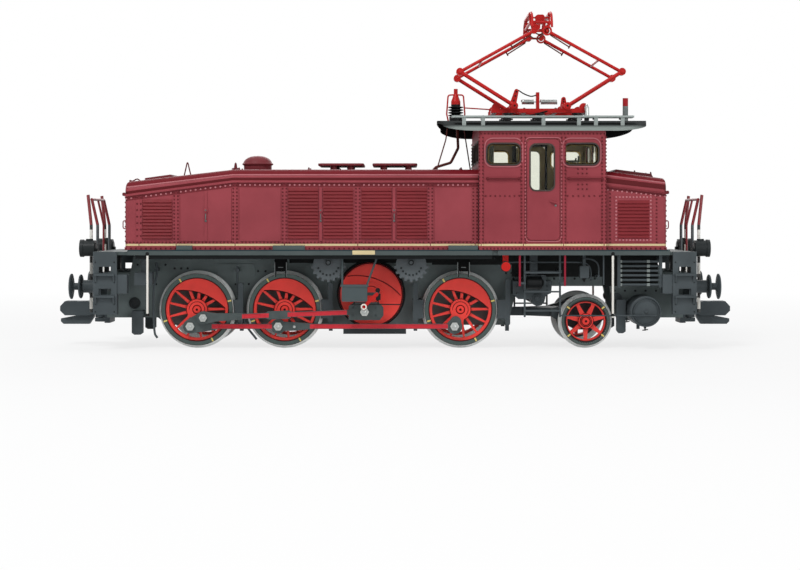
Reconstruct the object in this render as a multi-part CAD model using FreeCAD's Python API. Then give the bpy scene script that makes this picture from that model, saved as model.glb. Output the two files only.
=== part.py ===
"""Electric locomotive, a 1:32 model for 45 mm gauge track, with side rods and a pantograph.

Frame: millimetres, origin at the bottom centre of the bounding box, +X towards the cab end,
+Z up.  The locomotive's right side is -Y and its left side is +Y.  Angles of cranks are
measured in the X-Z plane, from +X towards +Z.
"""
import FreeCAD, Part
import math
import os

V = FreeCAD.Vector

# ------------------------------------------------------------------ driving dimensions, mm
FIT = 0.05                 # radial clearance of a pin in its bore
GAP = 0.3                  # clearance between faces that move past each other
SINK = 0.3                 # how far a trim reaches into the wall that it is fused with
CUT = 1.0                  # how far a cutting tool runs past the faces it cuts

# wheels
BACK_TO_BACK = 42.0        # between the inner faces of a wheel pair
TYRE_WIDTH = 5.5
WHEEL_IN = BACK_TO_BACK / 2
WHEEL_OUT = WHEEL_IN + TYRE_WIDTH
FLANGE_DEPTH = 1.25
FLANGE_WIDTH = 1.2
DRIVER_TREAD_R = 19.53
DRIVER_TYRE = 2.73         # radial thickness of the tyre
DRIVER_RIM_R = DRIVER_TREAD_R - DRIVER_TYRE
DRIVER_RIM_INNER = DRIVER_RIM_R - 1.7
DRIVER_HUB_R = 5.5
DRIVER_SPOKES = 13
DRIVER_Z = FLANGE_DEPTH + DRIVER_TREAD_R
DRIVER_PAIR = 2 * (DRIVER_TREAD_R + FLANGE_DEPTH) + 5.34
DRIVER_X = (-59.0 - DRIVER_PAIR, -59.0, 35.0)
PILOT_TREAD_R = 13.28
PILOT_TYRE = 1.58
PILOT_RIM_R = PILOT_TREAD_R - PILOT_TYRE
PILOT_RIM_INNER = PILOT_RIM_R - 1.85
PILOT_HUB_R = 3.9
PILOT_SPOKES = 7
PILOT_X = 102.1
PILOT_Z = FLANGE_DEPTH + PILOT_TREAD_R
AXLE_R = 2.5
AXLE_END_R = 1.8
AXLE_END = 0.7             # how far the axle stands out of the hub
RIM_INSET = (0.8, 0.5)     # rim behind the back and front faces of its tyre
SPOKE_INSET = (1.6, 1.3)
SPOKE_HALF = (0.8, 0.5)    # half width of a spoke at its hub and at its rim
PILOT_SPOKE_HALF = (1.3, 0.8)

# rods and jackshaft
CRANK_R = 9.375
CRANK_RIGHT_DEG = 250.0
CRANK_LEFT_DEG = 340.0
CRANK_PIN_R = 1.25
CRANK_SEAT_R = 2.4
CRANK_BOSS_R = (4.0, 3.2)  # round the axle and round the pin
NUT_R = 2.4
NUT_THICK = 1.0
NUT_END = 0.5              # how far a pin stands out of its nut's inner face
WEIGHT_ARC_R = 31.2        # inner edge of a balance weight
WEIGHT_NEAREST = 8.9       # its least distance from the axle
WEIGHT_INSET = (1.2, 0.8)
JACKSHAFT_X = -12.9
JACKSHAFT_Z = 28.7
JACKSHAFT_R = 17.2
JACKSHAFT_CORE_R = 3.2
DISC_Y = (WHEEL_OUT - 4.3, WHEEL_OUT - 1.3)
ROD_Y = WHEEL_OUT + 1.5    # inner face of the coupling rods
ROD_THICK = 2.2
DRIVE_ROD_Y = ROD_Y + ROD_THICK + 0.6
BIG_END_EXTRA = 0.4        # how much thicker the big end is than its rod
BAR_HALF_HEIGHT = 1.4
BAR_INSET = 0.3            # how much thinner a bar is than its heads, on each face
FLUTE_END = 4.5            # bar left plain at each end of a flute
FLUTE_DEPTH = 0.3
FLUTE_EDGE = 0.45          # what a flute leaves above and below it
EYE_DX = 7.2               # drive rod eye from the first crank pin
EYE_DZ = 4.7
KNUCKLE_DX = 8.7           # joint of the coupling rod behind the second pin
# outline of the big end round its pin: dx, dz
BIG_END = ((-8.5, -4.4), (8.0, -4.4), (10.0, -2.0), (10.0, 2.4), (7.5, 5.1), (-5.5, 5.1),
           (-8.5, 3.0))

# frame and platforms
FRAME_OUT_Y = 17.5
FRAME_THICK = 3.0
FRAME_IN_Y = FRAME_OUT_Y - FRAME_THICK
FRAME_LOW_Z = 12.0
FRAME_TRUCK_Z = 33.0       # underside above the pony truck
FRAME_END_Z = 16.0
FRAME_PANELS = ((-96.0, -75.5), (-49.0, -36.5))
FRAME_PANEL_Z = (37.5, 45.0)
DECK_Z = 50.2
DECK_THICK = 2.8
DECK_TOP = DECK_Z + DECK_THICK
DECK_HALF_Y = 46.0
BEAM_X = 158.6             # outer face of a buffer beam
BEAM_THICK = 3.0
BEAM_IN_X = BEAM_X - BEAM_THICK
BEAM_Z = (24.0, 40.5)
FRAME_STEP_X = (BEAM_X - 17.6, BEAM_X - 15.6)
DECK_X = (-(BEAM_X - 18.6), BEAM_X - 14.6)
DECK_NOTCH_X = (51.0, 54.0)
DECK_COVERS = ((-114.5, -106.3), (-64.0, -47.2), (28.1, 43.5))
COVER_HEIGHT = 2.3
EDGE_ANGLE_X = (-(BEAM_X - 22.6), DECK_NOTCH_X[0])
PLATFORM_Z = (DECK_Z, DECK_Z + 1.8)
PLATFORM_POST_Y = (-30.0, -10.0, 10.0, 30.0)
STEP_X = (BEAM_X - 12.6, BEAM_X - 0.1)
STEP_OUT_Y = DECK_HALF_Y - 2.5
STEP_THICK = 1.4
STEP_LOW_Z = 19.0
STEP_TREAD_Z = (39.4, 27.9)
STEP_TREAD_THICK = 0.9
BEAM_HALF_Y = STEP_OUT_Y - STEP_THICK
BUFFER_Y = 27.3
BUFFER_Z = 33.2
BUFFER_LENGTH = 14.85
BUFFER_FACE_X = BEAM_X + BUFFER_LENGTH
BUFFER_HEAD_R = 6.8
COUPLER_PIVOT_X = BEAM_X + 3.4
COUPLER_LENGTH = 21.6
COUPLER_TIP_X = COUPLER_PIVOT_X + COUPLER_LENGTH
COUPLER_LUG_Z = ((12.9, 14.9), (24.5, 26.5))
COUPLER_LUG_R = 3.2
COUPLER_PIN_R = 1.3
TRUCK_ARM = 44.6           # pivot to pilot axle
TRUCK_PIVOT_X = PILOT_X - TRUCK_ARM
TRUCK_PIVOT_R = 2.0
TRUCK_ARM_Z = (16.4, 20.8)

# hoods
HOOD_HALF_Y = DECK_HALF_Y - 4.0
HOOD_WALL = 2.5
SHOULDER_R = 6.0
FLANGE_Z = DECK_TOP + 1.4  # top of the angle along the foot of hoods and cab
CAB_X = (44.2, 110.7)
LONG_HOOD_X = (-(BEAM_X - 16.6), CAB_X[0])
LONG_BREAK_X = -85.3       # where the hood starts to slope
LONG_CROWN_Z = (89.7, 96.3)
LONG_CORNICE_Z = (LONG_CROWN_Z[0] - 7.8, LONG_CROWN_Z[1] - 7.0)
SHORT_HOOD_X = (CAB_X[1], BEAM_X - 15.7)
SHORT_CROWN_Z = (95.6, 91.5)
SHORT_CORNICE_Z = (SHORT_CROWN_Z[0] - 8.7, SHORT_CROWN_Z[1] - 8.4)
# stations along a hood: x, top of the rain strip, crown
LONG_STATIONS = ((LONG_HOOD_X[0], LONG_CORNICE_Z[0], LONG_CROWN_Z[0]),
                 (LONG_BREAK_X, LONG_CORNICE_Z[1], LONG_CROWN_Z[1]),
                 (LONG_HOOD_X[1], LONG_CORNICE_Z[1], LONG_CROWN_Z[1]))
SHORT_STATIONS = ((SHORT_HOOD_X[0], SHORT_CORNICE_Z[0], SHORT_CROWN_Z[0]),
                  (SHORT_HOOD_X[1], SHORT_CORNICE_Z[1], SHORT_CROWN_Z[1]))
LONG_SEAMS = (LONG_HOOD_X[0] + 7.5, -115.0, -84.0, -58.0, -19.5, 18.7, LONG_HOOD_X[1] - 2.0)
SEAM_HALF = 1.6
CORNICE_DEPTH = 1.0
CORNICE_HEIGHT = 0.9
PANEL_LOW_Z = DECK_TOP + 4.6
HOOD_DOORS = ((-112.5, -100.0), (-98.8, -86.0))
HOOD_PANELS = ((-81.5, -60.0), (21.0, 40.5))
# posts between doors and louvres: x, top
HOOD_POSTS = ((-99.4, 84.0), (-39.0, 86.0), (-0.4, 86.0))
# louvre panels of one side: x0, x1, z0, z1
LOUVRES = ((-132.6, -117.2, 58.7, 79.4), (-56.0, -40.4, 58.7, 85.5), (-37.6, -22.0, 58.7, 85.5),
           (-17.5, -1.8, 58.7, 85.5), (1.0, 16.8, 58.7, 85.5), (117.2, 133.6, 59.0, 79.0))
LOUVRE_PITCH = 1.8
LOUVRE_DEPTH = 0.9
DOME_X = -75.6
DOME_R = 7.65
DOME_HEIGHT = 6.9
HATCHES = ((-41.6, -16.8), (-12.2, 12.1))
SLOPE_HATCH_X = (LONG_HOOD_X[0] + 6.4, -121.4)

# cab
CAB_HALF_Y = DECK_HALF_Y - 1.0
CAB_WALL = 1.6
ROOF_EDGE_Z = DECK_TOP + 62.4   # underside of the roof at its edge
ROOF_CROWN_Z = ROOF_EDGE_Z + 6.0
ROOF_THICK = 1.6
SIDE_WINDOWS = ((CAB_X[0] + 4.0, CAB_X[0] + 21.7), (CAB_X[0] + 44.7, CAB_X[0] + 62.7))
SIDE_WINDOW_Z = (ROOF_EDGE_Z - 17.8, ROOF_EDGE_Z - 6.6)
SIDE_WINDOW_CORNER = 3.2
END_WINDOWS = ((-39.0, -19.0), (-9.5, 9.5), (19.0, 39.0))
END_WINDOW_Z = (ROOF_EDGE_Z - 15.9, ROOF_EDGE_Z - 5.4)
END_WINDOW_CORNER = 2.5
GLASS = 0.6
GLASS_IN = 1.0             # how far a side pane lies behind the wall's face
DOOR_X = (CAB_X[0] + 24.8, CAB_X[0] + 42.5)
DOOR_Z = (DECK_TOP + 4.9, ROOF_EDGE_Z - 4.1)
DOOR_CLEAR = 0.25
DOOR_THICK = 1.2
DOOR_WINDOW_X = (DOOR_X[0] + 2.0, DOOR_X[1] - 3.2)
DOOR_WINDOW_Z = (ROOF_EDGE_Z - 31.2, ROOF_EDGE_Z - 7.0)
DOOR_WINDOW_CORNER = 3.0
HINGE_X = DOOR_X[0] + 0.85
HINGE_Y = CAB_HALF_Y - 1.65
HINGE_Z = (DOOR_Z[0] + 4.1, (DOOR_Z[0] + DOOR_Z[1]) / 2 - 0.1, DOOR_Z[1] - 5.3)
HINGE_R = 0.6
HINGE_PIN_R = 0.3
HINGE_HALF = 2.75          # half the height of a whole hinge
KNUCKLE_HALF = 1.2         # half the height of the knuckle on the door
HINGE_PLAY = 0.15
# handrail bars under the side windows: x0, x1
SIDE_BARS = ((CAB_X[0] + 4.0, CAB_X[0] + 21.2), (CAB_X[0] + 46.2, CAB_X[0] + 64.8))
CAB_SEAMS = (CAB_X[0] + 1.0, CAB_X[0] + 23.1, CAB_X[0] + 44.2, CAB_X[1] - 1.1)
DESK_X = CAB_X[1] - 17.7   # rear face of the control desk

# roof
ROOF_X = (CAB_X[0] - 21.2, CAB_X[1] + 26.3)
ROOF_SIDE_X = (CAB_X[0] - 1.7, CAB_X[1] + 2.3)
ROOF_HALF_Y = CAB_HALF_Y + 1.5
ROOF_R = (ROOF_HALF_Y ** 2 + (ROOF_CROWN_Z - ROOF_EDGE_Z) ** 2) / (2 * (ROOF_CROWN_Z - ROOF_EDGE_Z))
ROOF_AXIS_Z = ROOF_CROWN_Z - ROOF_R
ROOF_BOW = 3.0             # how far a roof end bulges
ROOF_TIP_Y = 26.0          # half width of that bulge
PLANK_Z = ROOF_CROWN_Z + ROOF_THICK - 0.3
PLANK_THICK = 1.0
PLANK_Y = (ROOF_HALF_Y - 14.5, ROOF_HALF_Y - 5.5)
PLANK_X = (ROOF_X[0] + 7.0, ROOF_X[1] - 11.0)
BRACKET_X = (PLANK_X[0] + 6.5, 46.5, 78.3, 97.0, 106.0, PLANK_X[1] - 6.0)
POST_X = ROOF_X[1] - 10.2
ARRESTER_X = ROOF_X[0] + 10.4
ARRESTER_SHEDS = 4

# pantograph, heights from the roof's crown
PAN_X = (CAB_X[0] + CAB_X[1]) / 2 + 1.0
PAN_BASE_Z = (ROOF_CROWN_Z + 5.3, ROOF_CROWN_Z + 7.6)
PAN_BASE_Y = 15.0
PAN_BEAM_HALF = 1.2
PAN_SHAFT_DX = 14.25
PAN_SHAFT_Z = ROOF_CROWN_Z + 8.6
PAN_SHAFT_R = 1.3
PAN_KNEE_DX = 43.55
PAN_KNEE_Z = ROOF_CROWN_Z + 27.0
PAN_TOP_DX = 3.5
PAN_TOP_Z = ROOF_CROWN_Z + 49.2
PAN_ARM_Y = 22.6
PAN_TUBE_R = 1.05
UPPER_Y = PAN_ARM_Y - 2.3
HEAD_IN_Y = UPPER_Y - 0.8 - GAP
PAN_HEAD_HALF_Y = HEAD_IN_Y + 11.3
PAN_HEAD_Z = ROOF_CROWN_Z + 59.6
PAN_STRIP_DX = 5.2
INSULATOR_X = (PAN_X - 17.45, PAN_X, PAN_X + 20.05)
# spring levers of the lower arms: reach along X and Z
LEVERS = {"rear": (2.6, 9.6), "front": (0.0, 5.2)}
KNEE_PIN_R = 0.8
EYE_R = 2.0
HEAD_PIN_R = 0.7
OPEN_BORE_R = 1.7          # bore of the arm that is left open, wide enough for its drift
SPRING_Z = PAN_SHAFT_Z + 3.7

# below the footplate
GEAR_X = (-35.1, 8.6)
GEAR_Z = 45.2
GEAR_R = 8.0
HANGER_X = (DRIVER_X[1] - 1.6, DRIVER_X[2] + 1.4)
# brake blocks: driving axle, side of it, reach from the tread, hanger top
BRAKES = ((0, 1, 3.77, 34.0), (1, 1, 4.87, 34.0), (2, -1, 4.47, 34.0), (2, 1, 5.87, 36.0))
BRAKE_LOW_Z = 13.5
BRAKE_PIN_R = 0.8
BRAKE_CLEAR = 0.5          # block to tread
LADDER_Y = CAB_HALF_Y - 5.0
LADDER_X = (DOOR_X[0] - 0.6, DOOR_X[1] + 0.3)
LADDER_RUNG_Z = (20.5, 30.5, 40.5)
GRAB_RAIL_X = (DOOR_X[0] - 3.5, DOOR_X[1] + 2.5)
HANDRAIL_Y = DECK_HALF_Y - 0.6
TANK_X = 132.4
TANK_Z = 20.3
TANK_R = 8.1
PIPES_X = (118.0, STEP_X[0] - 6.0)
PIPES = 6
PIPE_PITCH = 2.45

# end fittings
RAIL_TOP_Z = 79.8
RAIL_KINK_Z = 66.0
RAIL_POST_Y = 18.4
POLE_Y = 21.0
LANTERN_Y = 27.5
LANTERN_Z = DECK_TOP + 0.6
LANTERN_R = 4.3


# ------------------------------------------------------------------ shapes
def box(x0, x1, y0, y1, z0, z1):
    """Block between two corners, given in any order along X and Y."""
    x0, x1 = min(x0, x1), max(x0, x1)
    y0, y1 = min(y0, y1), max(y0, y1)
    return Part.makeBox(x1 - x0, y1 - y0, z1 - z0, V(x0, y0, z0))


def cyl_x(y, z, r, x0, x1):
    return Part.makeCylinder(r, abs(x1 - x0), V(min(x0, x1), y, z), V(1, 0, 0))


def cyl_y(x, z, r, y0, y1):
    return Part.makeCylinder(r, abs(y1 - y0), V(x, min(y0, y1), z), V(0, 1, 0))


def cyl_z(x, y, r, z0, z1):
    return Part.makeCylinder(r, z1 - z0, V(x, y, z0))


def bar(p, q, r):
    """Round bar from point p to point q."""
    p, q = V(*p), V(*q)
    return Part.makeCylinder(r, (q - p).Length, p, q - p)


def hexagon(x, z, r, y0, y1):
    """Hexagon nut on a Y axis, r across its corners."""
    points = [(x + r * math.cos(math.radians(60 * i)), z + r * math.sin(math.radians(60 * i)))
              for i in range(6)]
    return prism_y(points, y0, y1)


def prism_y(points, y0, y1):
    """Outline of (x, z) points, extruded along Y."""
    ring = [V(x, y0, z) for x, z in points]
    return Part.Face(Part.makePolygon(ring + ring[:1])).extrude(V(0, y1 - y0, 0))


def prism_x(points, x0, x1):
    """Outline of (y, z) points, extruded along X."""
    ring = [V(x0, y, z) for y, z in points]
    return Part.Face(Part.makePolygon(ring + ring[:1])).extrude(V(x1 - x0, 0, 0))


def rounded_y(x0, x1, z0, z1, r, y0, y1):
    """Rectangle in X-Z with rounded corners, extruded along Y."""
    block = box(x0, x1, y0, y1, z0, z1)
    corners = [e for e in block.Edges if abs(e.tangentAt(e.FirstParameter).y) > 0.9]
    return block.makeFillet(r, corners)


def rounded_x(y0, y1, z0, z1, r, x0, x1):
    """Rectangle in Y-Z with rounded corners, extruded along X."""
    block = box(x0, x1, y0, y1, z0, z1)
    corners = [e for e in block.Edges if abs(e.tangentAt(e.FirstParameter).x) > 0.9]
    return block.makeFillet(r, corners)


def link(p, q, rp, rq, y0, y1):
    """Flat link in X-Z with round ends of radius rp at p and rq at q."""
    (x0, z0), (x1, z1) = p, q
    length = math.hypot(x1 - x0, z1 - z0)
    ux, uz = (x1 - x0) / length, (z1 - z0) / length
    web = [(x0 - uz * rp, z0 + ux * rp), (x1 - uz * rq, z1 + ux * rq),
           (x1 + uz * rq, z1 - ux * rq), (x0 + uz * rp, z0 - ux * rp)]
    return fuse([prism_y(web, y0, y1), cyl_y(x0, z0, rp, y0, y1), cyl_y(x1, z1, rq, y0, y1)])


def bent_rod(points, r, bend):
    """Round rod along straight runs joined by tangent arcs of radius bend."""
    points = [V(*p) for p in points]
    edges = []
    start = points[0]
    for before, corner, after in zip(points, points[1:], points[2:]):
        inward = (before - corner).normalize()
        outward = (after - corner).normalize()
        half = inward.getAngle(outward) / 2
        reach = bend / math.tan(half)
        first, last = corner + inward * reach, corner + outward * reach
        middle = corner + (inward + outward).normalize() * (bend / math.sin(half) - bend)
        edges.append(Part.LineSegment(start, first).toShape())
        edges.append(Part.Arc(first, middle, last).toShape())
        start = last
    edges.append(Part.LineSegment(start, points[-1]).toShape())
    section = Part.Wire(Part.Circle(points[0], points[1] - points[0], r).toShape())
    return Part.Wire(edges).makePipeShell([section], True, False)


def fuse(shapes):
    return shapes[0].multiFuse(shapes[1:]).removeSplitter() if len(shapes) > 1 else shapes[0]


def mirror(shape):
    """The same piece on the other side of the locomotive."""
    return shape.mirror(V(0, 0, 0), V(0, 1, 0))


def both_sides(shapes):
    return shapes + [mirror(s) for s in shapes]


def both_ends(shapes):
    return shapes + [s.mirror(V(0, 0, 0), V(1, 0, 0)) for s in shapes]


def save(node, shapes):
    """Write one node; its pieces are separate solids."""
    solids = [solid for shape in shapes for solid in shape.Solids]
    for solid in solids:
        if not solid.isValid() or solid.Volume <= 0:
            raise ValueError(node + " has a bad solid")
    Part.makeCompound(solids).exportStep("parts/" + node + ".step")
    print(node, len(solids), round(sum(s.Volume for s in solids), 1))


# ------------------------------------------------------------------ wheels
def crank_point(x, z, degrees):
    angle = math.radians(degrees)
    return x + CRANK_R * math.cos(angle), z + CRANK_R * math.sin(angle)


def crank_degrees(side):
    return CRANK_RIGHT_DEG if side < 0 else CRANK_LEFT_DEG


def balance_weight(x, z, r, crank_deg, y0, y1):
    """Crescent opposite the crank, inside radius r."""
    angle = math.radians(crank_deg + 180)
    back = WEIGHT_NEAREST - WEIGHT_ARC_R
    disc = cyl_y(x, z, r, y0, y1)
    hollow = cyl_y(x + back * math.cos(angle), z + back * math.sin(angle), WEIGHT_ARC_R,
                   min(y0, y1) - 1, max(y0, y1) + 1)
    return disc.cut(hollow)


def spokes(x, z, count, r0, r1, half0, half1, first_deg, y0, y1):
    """Tapered spokes from radius r0 to r1."""
    pieces = []
    for i in range(count):
        a = math.radians(first_deg + 360.0 * i / count)
        c, s = math.cos(a), math.sin(a)
        outline = [(r0, -half0), (r1, -half1), (r1, half1), (r0, half0)]
        pieces.append(prism_y([(x + u * c - w * s, z + u * s + w * c) for u, w in outline], y0, y1))
    return pieces


def tyre(x, z, tread_r, rim_r, side):
    """Tyre with its flange on the inside, turned about the axle."""
    flange_r = tread_r + FLANGE_DEPTH
    profile = [(WHEEL_IN, rim_r), (WHEEL_OUT, rim_r), (WHEEL_OUT, tread_r - 0.4),
               (WHEEL_OUT - 0.4, tread_r), (WHEEL_IN + FLANGE_WIDTH + 0.6, tread_r),
               (WHEEL_IN + FLANGE_WIDTH, flange_r - 0.5), (WHEEL_IN + 0.7, flange_r),
               (WHEEL_IN + 0.3, flange_r), (WHEEL_IN, flange_r - 0.5)]
    ring = [V(x, side * y, z + r) for y, r in profile]
    return Part.Face(Part.makePolygon(ring + ring[:1])).revolve(V(x, 0, z), V(0, 1, 0), 360)


def wheel_rim(x, z, r_out, r_in, side):
    """Rim ring of a wheel centre, set back from both faces of its tyre."""
    back, front = side * (WHEEL_IN + RIM_INSET[0]), side * (WHEEL_OUT - RIM_INSET[1])
    return cyl_y(x, z, r_out, back, front).cut(cyl_y(x, z, r_in, back - side, front + side))


def driver_centre(x, side):
    """Spoked centre with rim, hub, balance weight, crank boss, pin and nut."""
    z = DRIVER_Z
    crank = crank_degrees(side)
    pin_x, pin_z = crank_point(x, z, crank)
    spoke_in, spoke_out = side * (WHEEL_IN + SPOKE_INSET[0]), side * (WHEEL_OUT - SPOKE_INSET[1])
    boss_y = side * (ROD_Y - GAP)
    nut_y = ROD_Y + ROD_THICK + GAP
    pieces = [wheel_rim(x, z, DRIVER_RIM_R, DRIVER_RIM_INNER, side),
              cyl_y(x, z, DRIVER_HUB_R, side * (WHEEL_IN + RIM_INSET[0]), side * WHEEL_OUT),
              balance_weight(x, z, DRIVER_RIM_INNER + 0.2, crank, side * (WHEEL_IN + WEIGHT_INSET[0]),
                             side * (WHEEL_OUT - WEIGHT_INSET[1])),
              link((x, z), (pin_x, pin_z), *CRANK_BOSS_R, spoke_in, side * (WHEEL_OUT + 0.3)),
              cyl_y(pin_x, pin_z, CRANK_SEAT_R, side * WHEEL_OUT, boss_y)]
    pieces += pin_and_nut(pin_x, pin_z, boss_y, side * nut_y, side)
    pieces += spokes(x, z, DRIVER_SPOKES, DRIVER_HUB_R - 0.4, DRIVER_RIM_INNER + SINK,
                     *SPOKE_HALF, crank, spoke_in, spoke_out)
    return fuse(pieces).cut(cyl_y(x, z, AXLE_R, -WHEEL_OUT - 2, WHEEL_OUT + 2))


def pin_and_nut(x, z, y_from, y_nut, side):
    """Crank pin from its seat through its nut."""
    return [cyl_y(x, z, CRANK_PIN_R, y_from, y_nut + side * NUT_END),
            hexagon(x, z, NUT_R, y_nut, y_nut + side * NUT_THICK)]


def pilot_centre(x, side):
    z = PILOT_Z
    pieces = [wheel_rim(x, z, PILOT_RIM_R, PILOT_RIM_INNER, side),
              cyl_y(x, z, PILOT_HUB_R, side * (WHEEL_IN + RIM_INSET[0]), side * WHEEL_OUT)]
    pieces += spokes(x, z, PILOT_SPOKES, PILOT_HUB_R - 0.4, PILOT_RIM_INNER + SINK,
                     *PILOT_SPOKE_HALF, 90.0, side * (WHEEL_IN + SPOKE_INSET[0]),
                     side * (WHEEL_OUT - SPOKE_INSET[1] + 0.1))
    return fuse(pieces).cut(cyl_y(x, z, AXLE_R, -WHEEL_OUT - 2, WHEEL_OUT + 2))


def axle(x, z):
    """Axle pressed into both wheel centres, with a centred journal at each end."""
    return fuse([cyl_y(x, z, AXLE_R, -WHEEL_OUT, WHEEL_OUT),
                 cyl_y(x, z, AXLE_END_R, -WHEEL_OUT - AXLE_END, WHEEL_OUT + AXLE_END)])


def wheelsets():
    for number, x in enumerate(DRIVER_X, 1):
        save("wheel_centres_%d" % number,
             [axle(x, DRIVER_Z), driver_centre(x, -1), driver_centre(x, 1)])
        save("wheel_tyres_%d" % number,
             [tyre(x, DRIVER_Z, DRIVER_TREAD_R, DRIVER_RIM_R, side) for side in (-1, 1)])
    save("pilot_wheel_centres",
         [axle(PILOT_X, PILOT_Z), pilot_centre(PILOT_X, -1), pilot_centre(PILOT_X, 1)])
    save("pilot_wheel_tyres",
         [tyre(PILOT_X, PILOT_Z, PILOT_TREAD_R, PILOT_RIM_R, side) for side in (-1, 1)])


def jackshaft():
    """Blind shaft with a crank disc at each end, which the drive rods turn with."""
    x, z = JACKSHAFT_X, JACKSHAFT_Z
    pieces = [cyl_y(x, z, JACKSHAFT_CORE_R, -DISC_Y[1], DISC_Y[1])]
    for side in (-1, 1):
        crank = crank_degrees(side)
        pin_x, pin_z = crank_point(x, z, crank)
        face = side * DISC_Y[1]
        nut_y = side * (DRIVE_ROD_Y + ROD_THICK + BIG_END_EXTRA + GAP)
        seat_y = side * (DRIVE_ROD_Y - GAP)
        pieces += [cyl_y(x, z, JACKSHAFT_R, side * DISC_Y[0], face),
                   cyl_y(x, z, 6.5, face, face + side * 1.2),
                   balance_weight(x, z, JACKSHAFT_R - 1.2, crank, face, face + side * 0.5),
                   cyl_y(pin_x, pin_z, 3.4, face, seat_y)]
        pieces += pin_and_nut(pin_x, pin_z, seat_y, nut_y, side)
    save("jackshaft", [fuse(pieces)])


# ------------------------------------------------------------------ rods
def fluted_bar(p, q, side, y, thick):
    """Slim bar between two points, with a flute along its outer face."""
    half = BAR_HALF_HEIGHT
    slope = math.atan2(q[1] - p[1], q[0] - p[0])
    length = math.hypot(q[0] - p[0], q[1] - p[1])
    y_in, y_out = side * (y + BAR_INSET), side * (y + thick - BAR_INSET)
    body = box(0, length, y_in, y_out, -half, half)
    flute = box(FLUTE_END, length - FLUTE_END, y_out - side * FLUTE_DEPTH, y_out + side,
                -half + FLUTE_EDGE, half - FLUTE_EDGE)
    piece = body.cut(flute)
    piece.rotate(V(0, 0, 0), V(0, 1, 0), -math.degrees(slope))
    piece.translate(V(p[0], 0, p[1]))
    return piece


def coupling_rod(side):
    """Rod over the three crank pins, with its knuckle and the head for the drive rod."""
    y0, y1 = side * ROD_Y, side * (ROD_Y + ROD_THICK)
    pins = [crank_point(x, DRIVER_Z, crank_degrees(side)) for x in DRIVER_X]
    z = pins[0][1]
    eye = (pins[0][0] + EYE_DX, z + EYE_DZ)
    knuckle_x = pins[1][0] + KNUCKLE_DX
    pieces = [link(pins[0], eye, 3.8, 3.5, y0, y1),
              link(pins[0], (pins[0][0] + 13, z), 3.8, 2.0, y0, y1),
              fluted_bar((pins[0][0] + 8, z), (pins[1][0] - 2, z), side, ROD_Y, ROD_THICK),
              cyl_y(pins[1][0], z, 3.9, y0, y1),
              link(pins[1], (knuckle_x, z), 2.6, 2.3, y0, y1),
              link((knuckle_x, z), (knuckle_x + 9, z), 2.3, 1.5, y0, y1),
              cyl_y(knuckle_x, z, 1.2, y1, y1 + side * 0.5),
              fluted_bar((knuckle_x + 3, z), (pins[2][0] - 2, z), side, ROD_Y, ROD_THICK),
              link(pins[2], (pins[2][0] + 0.6, z + 2.4), 4.1, 3.0, y0, y1)]
    rod = fuse(pieces)
    for pin in pins:
        rod = rod.cut(cyl_y(pin[0], pin[1], CRANK_PIN_R + FIT, y0 - side, y1 + side))
    nut_y = side * (DRIVE_ROD_Y + ROD_THICK)
    bolt = [cyl_y(eye[0], eye[1], CRANK_PIN_R, y1 - side, nut_y + side * 0.3),
            hexagon(eye[0], eye[1], NUT_R - 0.2, nut_y, nut_y + side * NUT_THICK)]
    return fuse([rod] + bolt)


def drive_rod(side):
    """Rod from the head on the coupling rod to the jackshaft's big end."""
    y0, y1 = side * DRIVE_ROD_Y, side * (DRIVE_ROD_Y + ROD_THICK)
    first = crank_point(DRIVER_X[0], DRIVER_Z, crank_degrees(side))
    eye = (first[0] + EYE_DX, first[1] + EYE_DZ)
    pin = crank_point(JACKSHAFT_X, JACKSHAFT_Z, crank_degrees(side))
    slope = (pin[1] - eye[1]) / (pin[0] - eye[0])

    def at(x):
        return x, eye[1] + slope * (x - eye[0])

    neck = at(eye[0] + 20)
    clamp = (at(eye[0] + 35), at(eye[0] + 45))
    pieces = [link(eye, at(eye[0] + 7), 3.4, 2.2, y0, y1),
              link(at(eye[0] + 7), neck, 2.2, 1.7, y0, y1),
              fluted_bar(at(eye[0] + 16), clamp[0], side, DRIVE_ROD_Y, ROD_THICK),
              link(clamp[0], clamp[1], 2.2, 2.2, y0, y1),
              fluted_bar(clamp[1], at(pin[0] - 6), side, DRIVE_ROD_Y, ROD_THICK),
              prism_y([(pin[0] + dx, pin[1] + dz) for dx, dz in BIG_END], y0,
                      y1 + side * BIG_END_EXTRA)]
    rod = fuse(pieces)
    rod = rod.cut(cyl_y(pin[0], pin[1], CRANK_PIN_R + FIT, y0 - side, y1 + 2 * side))
    return rod.cut(cyl_y(eye[0], eye[1], CRANK_PIN_R + FIT, y0 - side, y1 + side))


def rods():
    for name, side in (("right", -1), ("left", 1)):
        save("coupling_rod_" + name, [coupling_rod(side)])
        save("drive_rod_" + name, [drive_rod(side)])


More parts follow.
